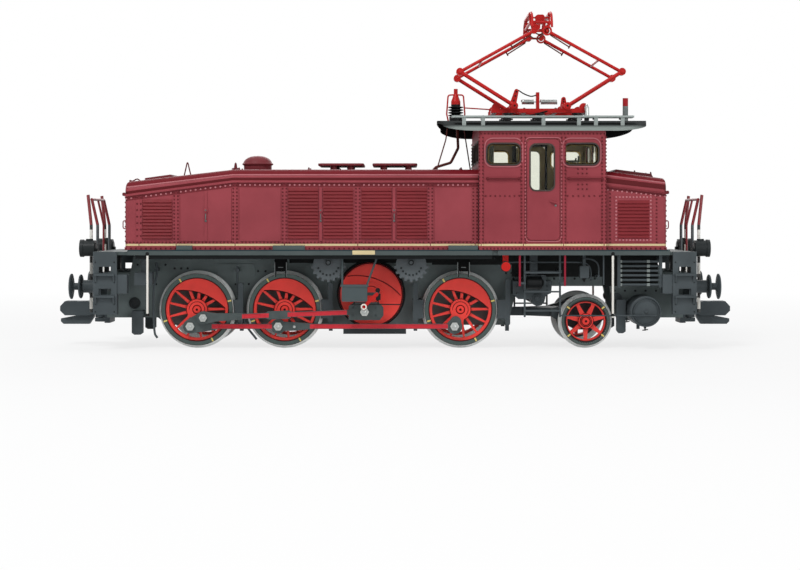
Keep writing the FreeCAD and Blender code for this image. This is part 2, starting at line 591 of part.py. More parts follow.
# ------------------------------------------------------------------ frame
def frame_plate():
    """One side plate, with the bores of the axles and the jackshaft."""
    end, low_x, high_x = BEAM_IN_X, FRAME_STEP_X[1], FRAME_STEP_X[0]
    outline = [(-end, FRAME_END_Z), (-end, BEAM_Z[1]), (-low_x, BEAM_Z[1]), (-high_x, DECK_Z),
               (high_x, DECK_Z), (low_x, BEAM_Z[1]), (end, BEAM_Z[1]), (end, FRAME_END_Z),
               (PILOT_X + 17.4, FRAME_END_Z), (PILOT_X + 13.9, FRAME_TRUCK_Z),
               (PILOT_X - 36.1, FRAME_TRUCK_Z), (PILOT_X - 41.1, FRAME_LOW_Z),
               (DRIVER_X[0] - 17.1, FRAME_LOW_Z), (DRIVER_X[0] - 22.1, FRAME_END_Z)]
    plate = prism_y(outline, -FRAME_OUT_Y, -FRAME_IN_Y)
    bores = [(x, DRIVER_Z, AXLE_R) for x in DRIVER_X]
    bores.append((JACKSHAFT_X, JACKSHAFT_Z, JACKSHAFT_CORE_R))
    for x, z, r in bores:
        plate = plate.cut(cyl_y(x, z, r + FIT, -FRAME_OUT_Y - CUT, -FRAME_IN_Y + CUT))
    panels = [rounded_y(x0, x1, *FRAME_PANEL_Z, 2.4, -FRAME_OUT_Y - 0.6, -FRAME_OUT_Y + SINK)
              for x0, x1 in FRAME_PANELS]
    return fuse([plate] + panels)


def main_frame():
    """Side plates, the stretchers between them and the pony truck's pivot."""
    plate = frame_plate()
    step_in, step_out = FRAME_STEP_X
    # stretchers between the plates: x0, x1, z0, z1
    stretchers = [(-BEAM_IN_X, -step_out, 18.0, 38.0), (-step_in, 4 - step_in, 18.0, 48.0),
                  (-84.0, -80.0, 28.0, 50.0), (-34.0, -30.0, 34.0, 50.0),
                  (8.0, 12.0, 30.0, 50.0), (PILOT_X + 7.9, PILOT_X + 11.9, 36.0, 50.0),
                  (step_in - 4, step_in, 18.0, 48.0), (step_out, BEAM_IN_X, 18.0, 38.0)]
    pieces = [box(x0, x1, -FRAME_IN_Y, FRAME_IN_Y, z0, z1) for x0, x1, z0, z1 in stretchers]
    pivot = fuse([box(TRUCK_PIVOT_X - 4.5, TRUCK_PIVOT_X + 4.5, -FRAME_IN_Y, FRAME_IN_Y, 24.0, 34.0),
                  cyl_z(TRUCK_PIVOT_X, 0, TRUCK_PIVOT_R, TRUCK_ARM_Z[0] - 1.4, 25.0),
                  cyl_z(TRUCK_PIVOT_X, 0, TRUCK_PIVOT_R + 1.4, TRUCK_ARM_Z[0] - 2.4,
                        TRUCK_ARM_Z[0] - 0.8)])
    save("main_frame", [plate, mirror(plate), pivot] + pieces)


def pony_truck():
    """Swinging truck of the pilot wheels: an arm from the pivot and two axle plates."""
    x, z = PILOT_X, PILOT_Z
    low, high = TRUCK_ARM_Z
    cheek_in = FRAME_OUT_Y - 3.5
    # half plan of the arm: distance from the pivot, half width
    half = [(-3.2, 4.6), (12.0, 4.6), (TRUCK_ARM - 18.1, cheek_in + 0.2),
            (TRUCK_ARM - 11.6, cheek_in + 0.2)]
    points = [V(TRUCK_PIVOT_X + dx, y, low) for dx, y in half]
    points += [V(TRUCK_PIVOT_X + dx, -y, low) for dx, y in reversed(half)]
    arm = Part.Face(Part.makePolygon(points + points[:1])).extrude(V(0, 0, high - low))
    cheek = prism_y([(x - 17.6, low), (x - 17.6, high), (x - 6, z + 9.47), (x + 6, z + 9.47),
                     (x + 12, high), (x + 12, low), (x + 5, z - 5.03), (x - 5, z - 5.03)],
                    -FRAME_OUT_Y, -cheek_in)
    rear = box(x + 8.5, x + 12, -cheek_in - 1, cheek_in + 1, low, high)
    truck = fuse([arm, cheek, mirror(cheek), rear])
    truck = truck.cut(cyl_y(x, z, AXLE_R + FIT, -WHEEL_IN, WHEEL_IN))
    truck = truck.cut(cyl_z(TRUCK_PIVOT_X, 0, TRUCK_PIVOT_R + FIT, low - 5, high + 5))
    save("pony_truck", [truck])


def footplate():
    """Running plate with its edge angle, the notch between its halves and low covers."""
    plate = box(*DECK_X, -DECK_HALF_Y, DECK_HALF_Y, DECK_Z, DECK_TOP)
    notch = box(*DECK_NOTCH_X, -DECK_HALF_Y - CUT, -DECK_HALF_Y + 1.5, DECK_Z - CUT, DECK_TOP + CUT)
    plate = plate.cut(notch).cut(mirror(notch))
    edge = box(*EDGE_ANGLE_X, -DECK_HALF_Y + 1.2, -DECK_HALF_Y + 2.4, DECK_Z - 2.0, DECK_Z)
    covers = [rounded_x(-DECK_HALF_Y + 0.6, -HOOD_HALF_Y - 1.1, DECK_TOP - SINK,
                        DECK_TOP + COVER_HEIGHT, 0.25, x0, x1) for x0, x1 in DECK_COVERS]
    save("footplate", [fuse([plate] + both_sides([edge] + covers))])


def buffer_beams():
    """Beams with the pocket, lugs and pin of each coupler."""
    beam = box(BEAM_IN_X, BEAM_X, -BEAM_HALF_Y, BEAM_HALF_Y, *BEAM_Z)
    low, high = COUPLER_LUG_Z
    pocket = box(BEAM_IN_X, BEAM_X, -8.0, 8.0, low[0] - 0.4, BEAM_Z[0] + CUT)
    lugs = [fuse([box(BEAM_X - 0.5, COUPLER_PIVOT_X, -COUPLER_LUG_R, COUPLER_LUG_R, z0, z1),
                  cyl_z(COUPLER_PIVOT_X, 0, COUPLER_LUG_R, z0, z1)]) for z0, z1 in COUPLER_LUG_Z]
    pin = cyl_z(COUPLER_PIVOT_X, 0, COUPLER_PIN_R, low[0] + 0.6, high[1] - 0.5)
    save("buffer_beams", both_ends([fuse([beam, pocket] + lugs + [pin])]))


def end_platforms():
    """Shunter's platforms: a deck plate on posts above each beam."""
    deck = box(DECK_X[1], BEAM_X, -BEAM_HALF_Y, BEAM_HALF_Y, *PLATFORM_Z)
    posts = [box(BEAM_X - 2.6, BEAM_X - 0.6, y - 2, y + 2, BEAM_Z[1], PLATFORM_Z[0] + 0.2)
             for y in PLATFORM_POST_Y]
    right = fuse([deck] + posts)
    left = fuse([right.mirror(V(0, 0, 0), V(1, 0, 0)),
                 box(-DECK_X[1], DECK_X[0], -BEAM_HALF_Y, BEAM_HALF_Y, *PLATFORM_Z)])
    save("end_platforms", [right, left])


def corner_steps():
    """Step plates at the four corners, each with two toe holes and two treads."""
    x0, x1 = STEP_X
    y_in, y_out = -STEP_OUT_Y + STEP_THICK, -STEP_OUT_Y
    plate = box(x0, x1, y_out, y_in, STEP_LOW_Z, PLATFORM_Z[1])
    pieces = []
    for z in STEP_TREAD_Z:
        top = z + STEP_TREAD_THICK
        plate = plate.cut(box(x0 + 3.0, x1 - 3.0, y_out - CUT, y_in + CUT, z + 1.5, z + 4.7))
        pieces.append(box(x0 + 1.0, x1 - 1.0, y_out - 2.0, y_in - 0.2, z, top))
        pieces.append(box(x0 + 0.5, BEAM_IN_X - 0.5, y_in - 0.2, y_in + 4.0, z, top))
        for x in (x0 + 1.2, x1 - 2.0):
            pieces.append(prism_x([(y_out, z + 0.2), (y_out, z - 3.4), (y_out - 0.5, z - 3.4),
                                   (y_out - 1.6, z + 0.2)], x, x + 0.8))
    for x in (x0, BEAM_IN_X - 0.9):
        pieces.append(box(x, x + 0.9, y_in - 0.2, y_in + 4.0, STEP_LOW_Z, BEAM_Z[1] - 0.5))
    save("corner_steps", both_ends(both_sides([fuse([plate] + pieces)])))


def buffers():
    """Buffer stocks, shanks and heads, each turned about its own axis."""
    x0, x1 = BEAM_X, BUFFER_FACE_X
    profile = [(x0, 0), (x0, 5.0), (x0 + 1.2, 5.0), (x0 + 1.2, 4.3), (x0 + 6.6, 3.6),
               (x0 + 6.6, 2.6), (x1 - 4.6, 2.6), (x1 - 4.6, 3.4), (x1 - 3.6, 3.4),
               (x1 - 1.6, BUFFER_HEAD_R - 0.2), (x1 - 0.5, BUFFER_HEAD_R), (x1, BUFFER_HEAD_R - 1.2),
               (x1, 0)]
    ring = [V(x, -BUFFER_Y, BUFFER_Z + r) for x, r in profile]
    buffer = Part.Face(Part.makePolygon(ring + ring[:1])).revolve(
        V(0, -BUFFER_Y, BUFFER_Z), V(1, 0, 0), 360)
    save("buffers", both_ends(both_sides([buffer])))


def couplers():
    """Claw couplers, each swinging on the pin between the lugs of its beam."""
    x, tip = COUPLER_PIVOT_X, COUPLER_TIP_X
    z0, z1 = COUPLER_LUG_Z[0][1] + GAP, COUPLER_LUG_Z[1][0] - GAP
    head = prism_y([(x + 2.4, z0 + 2.4), (x + 6.0, z0 + 1.2), (tip - 2.6, z0 + 1.2),
                    (tip, z0 + 3.8), (tip, z0 + 6.2), (tip - 2.6, z1), (x + 7.0, z1),
                    (x + 2.4, z0 + 7.4)], -4.4, 4.4)
    tongue = prism_y([(x + 3.6, z0 + 0.2), (x + 6.0, z0 - 3.6), (tip - 1.5, z0 - 3.6),
                      (tip, z0 - 2.2), (tip, z0 - 0.6), (x + 10.0, z0 + 1.6),
                      (x + 3.6, z0 + 2.6)], -2.2, 2.2)
    slot = box(x + 13.0, tip - 2.6, -1.4, 1.4, z0 + 3.2, z1 + CUT)
    eye = cyl_z(x, 0, COUPLER_LUG_R - 0.2, z0, z1)
    shank = box(x, x + 4.0, -2.4, 2.4, z0 + 2.4, z0 + 7.4)
    coupler = fuse([eye, shank, head, tongue]).cut(slot)
    coupler = coupler.cut(cyl_z(x, 0, COUPLER_PIN_R + FIT, z0 - CUT, z1 + CUT))
    save("coupler_front", [coupler])
    save("coupler_rear", [coupler.mirror(V(0, 0, 0), V(1, 0, 0))])


# ------------------------------------------------------------------ hoods
def hood_section(x, half_y, low_z, cornice_z, crown_z, shoulder):
    """Cross-section of a hood: upright sides, round shoulders and a slightly cambered top."""
    side_z = crown_z - 0.9 - shoulder
    edge_y = half_y - shoulder
    diag = shoulder * (1 - math.sqrt(0.5))
    left_arc = Part.Arc(V(x, half_y, side_z), V(x, half_y - diag, side_z + shoulder - diag),
                        V(x, edge_y, side_z + shoulder))
    right_arc = Part.Arc(V(x, -edge_y, side_z + shoulder), V(x, -half_y + diag, side_z + shoulder - diag),
                         V(x, -half_y, side_z))
    corners = [V(x, -half_y, side_z), V(x, -half_y, low_z), V(x, half_y, low_z), V(x, half_y, side_z)]
    edges = [Part.LineSegment(a, b).toShape() for a, b in zip(corners, corners[1:])]
    edges.append(left_arc.toShape())
    edges.append(Part.LineSegment(V(x, edge_y, side_z + shoulder), V(x, 0, crown_z)).toShape())
    edges.append(Part.LineSegment(V(x, 0, crown_z), V(x, -edge_y, side_z + shoulder)).toShape())
    edges.append(right_arc.toShape())
    return Part.Wire(edges)


def hood_solid(stations, inset, low_z):
    """Hood through stations of (x, cornice z, crown z), all its walls moved in by inset."""
    sections = [hood_section(x, HOOD_HALF_Y - inset, low_z, cornice, crown - inset,
                             SHOULDER_R - inset) for x, cornice, crown in stations]
    return Part.makeLoft(sections, True, True)


def cornice(stations):
    """Rain strip along both sides, following the slope of the hood."""
    strips = []
    for (xa, za, _), (xb, zb, _) in zip(stations, stations[1:]):
        outline = [(xa, za - CORNICE_HEIGHT), (xa, za), (xb, zb), (xb, zb - CORNICE_HEIGHT)]
        strips.append(prism_y(outline, -HOOD_HALF_Y - CORNICE_DEPTH, -HOOD_HALF_Y + SINK))
    return both_sides([fuse(strips)])


def seam_strip(x, z1):
    """Cover strip over a joint of the side sheets."""
    return box(x - SEAM_HALF, x + SEAM_HALF, -HOOD_HALF_Y - 0.35, -HOOD_HALF_Y + SINK, FLANGE_Z, z1)


def cornice_z(stations, x):
    """Height of the rain strip at x."""
    for (xa, za, _), (xb, zb, _) in zip(stations, stations[1:]):
        if xa <= x <= xb:
            return za + (zb - za) * (x - xa) / (xb - xa)
    raise ValueError("outside the hood")


def hood_shell(stations, end_x):
    """Outer hood less the space inside it, with the free end's edges rounded."""
    solid = hood_solid(stations, 0, DECK_TOP)
    at_end = [e for e in solid.Edges
              if abs(e.BoundBox.XMin - end_x) < 0.01 and abs(e.BoundBox.XMax - end_x) < 0.01
              and e.BoundBox.ZMax > DECK_TOP + 1]
    solid = solid.makeFillet(2.2, at_end)
    inner = list(stations)
    closed = 0 if end_x < 0 else -1
    wall = HOOD_WALL if end_x < 0 else -HOOD_WALL
    inner[closed] = (end_x + wall,) + stations[closed][1:]
    return solid.cut(hood_solid(inner, HOOD_WALL, DECK_TOP - 1))


def foot_angle(x0, x1, y, depth=0.8):
    """Angle along the foot of a side wall whose face lies at -y."""
    return box(x0, x1, -y - depth, -y + SINK, DECK_TOP, FLANGE_Z)


def long_hood():
    """Sloping hood with cover strips, moulded doors and panels, posts and rain strip."""
    stations = LONG_STATIONS
    shell = hood_shell(stations, LONG_HOOD_X[0])
    trims = [seam_strip(x, cornice_z(stations, x - SEAM_HALF) - CORNICE_HEIGHT) for x in LONG_SEAMS]
    for x0, x1 in HOOD_DOORS + HOOD_PANELS:
        top0, top1 = [cornice_z(stations, x) - 3.6 for x in (x0, x1)]
        trims.append(prism_y([(x0, PANEL_LOW_Z), (x0, top0), (x1, top1), (x1, PANEL_LOW_Z)],
                             -HOOD_HALF_Y - 0.3, -HOOD_HALF_Y + SINK))
    trims += [box(x - 0.7, x + 0.7, -HOOD_HALF_Y - 0.7, -HOOD_HALF_Y + SINK, PANEL_LOW_Z, z1)
              for x, z1 in HOOD_POSTS]
    trims.append(foot_angle(*LONG_HOOD_X, HOOD_HALF_Y))
    save("long_hood", [fuse([shell] + both_sides(trims) + cornice(stations))])


def short_hood():
    """Hood behind the cab, with a framed louvre panel."""
    x0, x1, z0, z1 = LOUVRES[-1]
    frame = box(x0 - 1.8, x1 + 1.8, -HOOD_HALF_Y - 0.35, -HOOD_HALF_Y + SINK, z0 - 1.8, z1 + 2.6)
    frame = frame.cut(box(x0, x1, -HOOD_HALF_Y - CUT, -HOOD_HALF_Y, z0, z1))
    trims = both_sides([frame, foot_angle(*SHORT_HOOD_X, HOOD_HALF_Y)])
    shell = hood_shell(SHORT_STATIONS, SHORT_HOOD_X[1])
    save("short_hood", [fuse([shell] + trims + cornice(SHORT_STATIONS))])


def louvre_panel(x0, x1, z0, z1):
    """Backing sheet with slats that slope down and outwards, as one saw-tooth outline."""
    count = round((z1 - z0) / LOUVRE_PITCH)
    pitch = (z1 - z0) / count
    y_in = -HOOD_HALF_Y
    outline = [(y_in, z0)]
    for i in range(count):
        low = z0 + i * pitch
        outline += [(y_in - LOUVRE_DEPTH, low + 0.15 * pitch), (y_in - 0.25, low + pitch)]
    outline.append((y_in, z1))
    return prism_x(outline, x0, x1)


def hood_louvres():
    save("hood_louvres", both_sides([louvre_panel(*row) for row in LOUVRES]))


def crown_z(x):
    """Height of the long hood's crown at x."""
    return cornice_z([(station[0], station[2], 0) for station in LONG_STATIONS], x)


def hood_fittings():
    """What stands on the long hood: dome, hatch covers, whistle and lifting wire."""
    top = LONG_CROWN_Z[1]
    rim_z = top + DOME_HEIGHT
    dome = fuse([cyl_z(DOME_X, 0, DOME_R, top - 0.2, rim_z),
                 cyl_z(DOME_X, 0, DOME_R + 0.85, top + 2.6, top + 3.6),
                 Part.makeCone(DOME_R, DOME_R - 2.25, 0.9, V(DOME_X, 0, rim_z))])
    fittings = [dome]
    for x0, x1 in HATCHES:
        cover = rounded_plan(x0, x1, -19.0, 19.0, 3.0, top + 1.6, top + 3.0)
        feet = [cyl_z(x, y, 1.6, top - 0.8, top + 1.9) for x in (x0 + 4, x1 - 4) for y in (-15, 15)]
        fittings.append(fuse([cover] + feet))
    x0, x1 = SLOPE_HATCH_X
    fittings.append(prism_y([(x0, crown_z(x0) - 0.8), (x0, crown_z(x0) + 1.0),
                             (x1, crown_z(x1) + 1.3), (x1, crown_z(x1) - 0.8)], -15.0, 15.0))
    whistle_x = LONG_BREAK_X - 2.5
    fittings.append(fuse([cyl_z(whistle_x, 0, 0.9, top - 1.8, top + 1.7),
                          cyl_z(whistle_x, 0, 1.5, top + 1.1, top + 4.0)]))
    fittings.append(bent_rod([(-116.4, 0, 91.4), (-114.3, 0, 100.6), (-112.2, 0, 91.8)], 0.35, 0.6))
    save("hood_fittings", [piece.cut(under_hood()) for piece in fittings])


def under_hood():
    """Everything the long hood fills, to trim the feet of what stands on it."""
    return hood_solid(LONG_STATIONS, 0, DECK_TOP)


def rounded_plan(x0, x1, y0, y1, r, z0, z1):
    block = box(x0, x1, y0, y1, z0, z1)
    return block.makeFillet(r, [e for e in block.Edges if abs(e.tangentAt(e.FirstParameter).z) > 0.9])


# ------------------------------------------------------------------ cab
def barrel(radius, x0, x1):
    return cyl_x(0, ROOF_AXIS_Z, radius, x0, x1)


def roof_top_z(y):
    return ROOF_AXIS_Z + math.sqrt((ROOF_R + ROOF_THICK) ** 2 - y ** 2)


def hinge_leaves(side):
    """Fixed halves of a door's three hinges: two knuckles, their strap and the pin."""
    y = side * HINGE_Y
    inner_y = side * (HINGE_Y - HINGE_R)
    wall_y = side * (CAB_HALF_Y - CAB_WALL + SINK)
    leaf = HINGE_HALF - KNUCKLE_HALF - HINGE_PLAY
    pieces = []
    for z in HINGE_Z:
        pieces.append(cyl_z(HINGE_X, y, HINGE_PIN_R, z - HINGE_HALF, z + HINGE_HALF))
        for z0 in (z - HINGE_HALF, z + HINGE_HALF - leaf):
            pieces += [cyl_z(HINGE_X, y, HINGE_R, z0, z0 + leaf),
                       box(DOOR_X[0] - 2.5, HINGE_X, inner_y, y, z0, z0 + leaf),
                       box(DOOR_X[0] - 2.5, DOOR_X[0] - 0.2, inner_y, wall_y, z0, z0 + leaf)]
    return pieces


def cab_side(walls, side):
    """One side wall with its trims, foot angle and the fixed hinge halves."""
    x0, x1 = CAB_X
    y = CAB_HALF_Y
    wall = walls.common(box(x0 - CUT, x1 + CUT, side * (y - CAB_WALL), side * (y + CUT), DECK_TOP,
                            ROOF_CROWN_Z + 5))
    low_z = SIDE_WINDOW_Z[0] - 8.0
    trims = [rounded_y(a, b, low_z, low_z + 1.5, 0.7, -y - 0.8, -y + SINK) for a, b in SIDE_BARS]
    trims += [box(x - 1.0, x + 1.0, -y - 0.3, -y + SINK, FLANGE_Z, ROOF_EDGE_Z - 2.9)
              for x in CAB_SEAMS]
    trims.append(foot_angle(x0, x1, y, 0.6))
    if side > 0:
        trims = [mirror(trim) for trim in trims]
    return fuse([wall] + trims + hinge_leaves(side))


def cab_walls():
    """Two side walls and the two end walls between them."""
    x0, x1 = CAB_X
    y, t = CAB_HALF_Y, CAB_WALL
    top = ROOF_CROWN_Z + 5
    outer = rounded_plan(x0, x1, -y, y, 1.5, DECK_TOP, top)
    inner = box(x0 + t, x1 - t, -y + t, y - t, DECK_TOP - CUT, top + CUT)
    walls = outer.cut(inner).common(barrel(ROOF_R - 0.1, x0, x1))
    openings = [rounded_y(a, b, *SIDE_WINDOW_Z, SIDE_WINDOW_CORNER, -y - CUT, y + CUT)
                for a, b in SIDE_WINDOWS]
    openings += [rounded_x(a, b, *END_WINDOW_Z, END_WINDOW_CORNER, x0 - CUT, x1 + CUT)
                 for a, b in END_WINDOWS]
    openings.append(rounded_y(*DOOR_X, *DOOR_Z, 2.6, -y - CUT, y + CUT))
    for opening in openings:
        walls = walls.cut(opening)
    ends = [walls.common(box(xa, xb, -y + t, y - t, DECK_TOP, top))
            for xa, xb in ((x0, x0 + t), (x1 - t, x1))]
    save("cab_walls", [cab_side(walls, -1), cab_side(walls, 1)] + ends)


def cab_glass():
    panes = []
    y = CAB_HALF_Y - GLASS_IN
    for a, b in SIDE_WINDOWS:
        panes += both_sides([rounded_y(a, b, *SIDE_WINDOW_Z, SIDE_WINDOW_CORNER, -y, -y + GLASS)])
    for a, b in END_WINDOWS:
        for x in (CAB_X[0] + 0.5, CAB_X[1] - 0.5 - GLASS):
            panes.append(rounded_x(a, b, *END_WINDOW_Z, END_WINDOW_CORNER, x, x + GLASS))
    save("cab_glass", panes)


def cab_door(name, side):
    """Door leaf on three hinges, with a round-topped window and a handle."""
    y_out = side * (CAB_HALF_Y - 0.1)
    y_in = y_out - side * DOOR_THICK
    window = rounded_y(*DOOR_WINDOW_X, *DOOR_WINDOW_Z, DOOR_WINDOW_CORNER, y_in - side, y_out + side)
    leaf = rounded_y(DOOR_X[0] + DOOR_CLEAR, DOOR_X[1] - DOOR_CLEAR, DOOR_Z[0] + DOOR_CLEAR,
                     DOOR_Z[1] - DOOR_CLEAR, 2.4, y_in, y_out)
    edge = 1.1
    frame = rounded_y(DOOR_WINDOW_X[0] - edge, DOOR_WINDOW_X[1] + edge, DOOR_WINDOW_Z[0] - edge,
                      DOOR_WINDOW_Z[1] + edge, DOOR_WINDOW_CORNER + 0.4, y_in, y_in - side * 0.5)
    x, z = DOOR_X[1] - 2.5, DOOR_Z[0] + 19.9
    handle = fuse([cyl_y(x, z, 0.5, y_out - side * 0.4, y_out + side * 1.2),
                   bar((x + 0.4, y_out + side, z - 0.2), (x - 2.8, y_out + side, z + 0.6), 0.45)])
    door = fuse([leaf, handle, frame]).cut(window)
    hinge_y = side * HINGE_Y
    notch = HINGE_HALF - KNUCKLE_HALF + HINGE_PLAY
    for z in HINGE_Z:
        for z0 in (z - HINGE_HALF - HINGE_PLAY, z + KNUCKLE_HALF):
            door = door.cut(cyl_z(HINGE_X, hinge_y, HINGE_R + GAP, z0, z0 + notch))
    door = fuse([door] + [cyl_z(HINGE_X, hinge_y, HINGE_R, z - KNUCKLE_HALF, z + KNUCKLE_HALF)
                          for z in HINGE_Z])
    for z in HINGE_Z:
        door = door.cut(cyl_z(HINGE_X, hinge_y, HINGE_PIN_R + FIT, z - HINGE_HALF, z + HINGE_HALF))
    save("door_" + name, [door])
    pane_y = y_in + side * 0.3
    save("door_glass_" + name, [rounded_y(*DOOR_WINDOW_X, *DOOR_WINDOW_Z, DOOR_WINDOW_CORNER, pane_y,
                                          pane_y + side * GLASS)])


def control_desk():
    """Controller with its handwheel and levers, the cable column and a seat in the cab."""
    x, top = DESK_X, DECK_TOP + 42.0
    desk = prism_y([(x, DECK_TOP), (x, top - 3.0), (x + 3.0, top), (x + 10.0, top + 2.0),
                    (x + 10.0, DECK_TOP)], -13.0, 13.0)
    wheel_x, wheel_z = x + 4.2, top + 5.4
    column = cyl_z(wheel_x, 0, 1.2, top - 2.0, wheel_z + 0.6)
    wheel = cyl_z(wheel_x, 0, 5.0, wheel_z, wheel_z + 1.0).cut(
        cyl_z(wheel_x, 0, 4.0, wheel_z - CUT, wheel_z + 1.0 + CUT))
    arms = []
    for third in range(3):
        a = 0.3 + third * math.pi / 3
        dx, dy = 4.5 * math.cos(a), 4.5 * math.sin(a)
        arms.append(bar((wheel_x + dx, dy, wheel_z + 0.5), (wheel_x - dx, -dy, wheel_z + 0.5), 0.4))
    knob = cyl_z(wheel_x + 4.2, 2.0, 0.7, wheel_z + 0.5, wheel_z + 3.6)
    levers = [bar((x + 5.5, y, top), (x + 7.5, y, top + 8.0), 0.5) for y in (-8.0, 8.0)]
    pillar = cyl_z(CAB_X[0] + 7.8, -12.0, 1.7, DECK_TOP, ROOF_CROWN_Z - 1.9)
    seat_x, seat_z = x - 21.0, DECK_TOP + 19.0
    seat = fuse([cyl_z(seat_x, 0, 1.5, DECK_TOP, seat_z), cyl_z(seat_x, 0, 6.0, seat_z, seat_z + 2.0)])
    save("control_desk", [fuse([desk, column, wheel, knob] + arms + levers), pillar, seat])


# ------------------------------------------------------------------ roof
def roof_plan(z):
    """Plan outline of the roof at height z: straight sides and bowed ends with broad corners."""
    (x0, x1), (s0, s1) = ROOF_X, ROOF_SIDE_X
    y, tip_y = ROOF_HALF_Y, ROOF_TIP_Y

    def corner(sx, ex, sign):
        return V(ex + (sx - ex) * 0.30, sign * (tip_y + (y - tip_y) * 0.66), z)

    p = [V(s0, -y, z), V(s1, -y, z), V(x1 - ROOF_BOW, -tip_y, z), V(x1, 0, z),
         V(x1 - ROOF_BOW, tip_y, z), V(s1, y, z), V(s0, y, z), V(x0 + ROOF_BOW, tip_y, z),
         V(x0, 0, z), V(x0 + ROOF_BOW, -tip_y, z)]
    edges = [Part.LineSegment(p[0], p[1]), Part.Arc(p[1], corner(s1, x1, -1), p[2]),
             Part.Arc(p[2], p[3], p[4]), Part.Arc(p[4], corner(s1, x1, 1), p[5]),
             Part.LineSegment(p[5], p[6]), Part.Arc(p[6], corner(s0, x0, 1), p[7]),
             Part.Arc(p[7], p[8], p[9]), Part.Arc(p[9], corner(s0, x0, -1), p[0])]
    return Part.Face(Part.Wire([e.toShape() for e in edges]))


def cab_roof():
    """Cambered sheet over the cab and its overhangs."""
    block = roof_plan(ROOF_EDGE_Z - 15).extrude(V(0, 0, 30))
    x0, x1 = ROOF_X[0] - 2, ROOF_X[1] + 2
    sheet = barrel(ROOF_R + ROOF_THICK, x0, x1).cut(barrel(ROOF_R, x0 - CUT, x1 + CUT))
    save("cab_roof", [block.common(sheet)])


def roof_walkways():
    """Plank along each side of the roof, on brackets."""
    outer, inner = -PLANK_Y[1], -PLANK_Y[0]
    foot_z = ROOF_EDGE_Z - 5
    pieces = [box(*PLANK_X, outer, inner, PLANK_Z, PLANK_Z + PLANK_THICK)]
    for x in BRACKET_X:
        leg = prism_x([(outer + 0.4, foot_z), (outer + 0.4, PLANK_Z + 0.2),
                       (inner - 0.4, PLANK_Z + 0.2), (inner - 0.4, PLANK_Z - 0.8),
                       (outer + 2.2, PLANK_Z - 0.8), (outer + 2.2, foot_z)], x - 1.0, x + 1.0)
        pieces.append(on_roof(leg))
    save("roof_walkways", both_sides([fuse(pieces)]))


def on_roof(shape):
    """Trim a foot to the roof's upper face."""
    return shape.cut(barrel(ROOF_R + ROOF_THICK, ROOF_X[0] - 5, ROOF_X[1] + 5))


def roof_post():
    save("roof_post", [on_roof(cyl_z(POST_X, 0, 1.5, ROOF_CROWN_Z - CUT, ROOF_CROWN_Z + 14.3))])


def arrester():
    """Surge arrester: ribbed insulator with a cone on top, two wire horns and its lead."""
    x = ARRESTER_X
    foot, z = ROOF_CROWN_Z + 0.6, ROOF_CROWN_Z + 4.0
    core_r, shed_r, pitch = 2.2, 4.2, 1.5
    outline = [(0, foot), (3.6, foot), (3.6, z)]
    for _ in range(ARRESTER_SHEDS):
        outline += [(core_r, z), (shed_r, z + 0.6), (shed_r, z + 1.0), (core_r, z + pitch)]
        z += pitch
    tip = z + 6.6
    outline += [(2.6, z), (2.6, z + 2.4), (1.1, tip), (1.1, tip + 2.8), (0, tip + 2.8)]
    ring = [V(x + r, 0, h) for r, h in outline]
    core = Part.Face(Part.makePolygon(ring + ring[:1])).revolve(V(x, 0, 0), V(0, 0, 1), 360)
    horns = [bent_rod([(x + s * 3.9, 0, foot), (x + s * 5.0, 0, foot + 5.0), (x + s * 4.2, 0, tip - 0.6),
                       (x + s * 1.0, 0, tip - 0.4)], 0.42, 1.2) for s in (-1, 1)]
    lead = bar((x + 4.7, 0, foot + 8.4), (PAN_X - 24.45, 0, PAN_BASE_Z[1] + 0.35), 0.35)
    save("arrester", [on_roof(fuse([core] + horns + [lead]))])


def roof_leads():
    """Leads from the roof's overhang down to the long hood."""
    x, under = ROOF_X[0], LONG_CROWN_Z[1] - 1.3
    edge = ROOF_EDGE_Z + 2.6
    thin = [bent_rod([(x + 5.2, -20, edge), (x + 4.4, -20, edge - 6), (x - 0.7, -20, under)], 0.35, 6.0),
            bent_rod([(x + 15.0, 8, edge + 3), (x + 16.0, 8, edge - 4), (x + 19.0, 8, under)], 0.35, 6.0)]
    thick = bent_rod([(x + 11.0, -6, edge + 2), (x + 11.5, -6, edge - 10), (x + 7.5, -6, edge - 18),
                      (x - 0.5, -6, under + 2.6), (x - 3.0, -6, under)], 0.75, 2.2)
    below = barrel(ROOF_R - 0.1, ROOF_X[0] - 5, ROOF_X[1])
    save("roof_leads", [s.common(below).cut(under_hood()) for s in thin + [thick]])


# ------------------------------------------------------------------ pantograph
def pan(dx):
    return PAN_X + dx


def pantograph_base():
    """Base frame with the bearings of the two shafts, spring anchor and end fittings."""
    z0, z1 = PAN_BASE_Z
    b, y = PAN_BEAM_HALF, PAN_BASE_Y
    rails = (-y, y)
    pieces = [box(pan(-26.45), pan(26.55), at - b, at + b, z0, z1) for at in rails]
    pieces += [box(pan(dx) - b, pan(dx) + b, -y, y, z0, z1) for dx in (-24.45, -8.45, 8.55, 24.55)]
    for s in (-1, 1):
        shaft = (pan(s * PAN_SHAFT_DX), PAN_SHAFT_Z)
        pieces += [cyl_y(pan(s * 23.7), PAN_SHAFT_Z - 0.4, 2.4, at - 1.0, at + 1.0) for at in rails]
        pieces += [link(shaft, (shaft[0], z1), 2.3, 2.3, at - b, at + b) for at in rails]
    pieces += [box(PAN_X - 0.9, PAN_X + 0.9, -1.5, 1.5, z0, SPRING_Z + 5.2),
               box(pan(-8.45), pan(8.55), -1.5, 1.5, z0, z1)]
    base = fuse(pieces)
    for s in (-1, 1):
        base = base.cut(cyl_y(pan(s * PAN_SHAFT_DX), PAN_SHAFT_Z, PAN_SHAFT_R + FIT, -y - 3, y + 3))
    save("pantograph_base", [base])


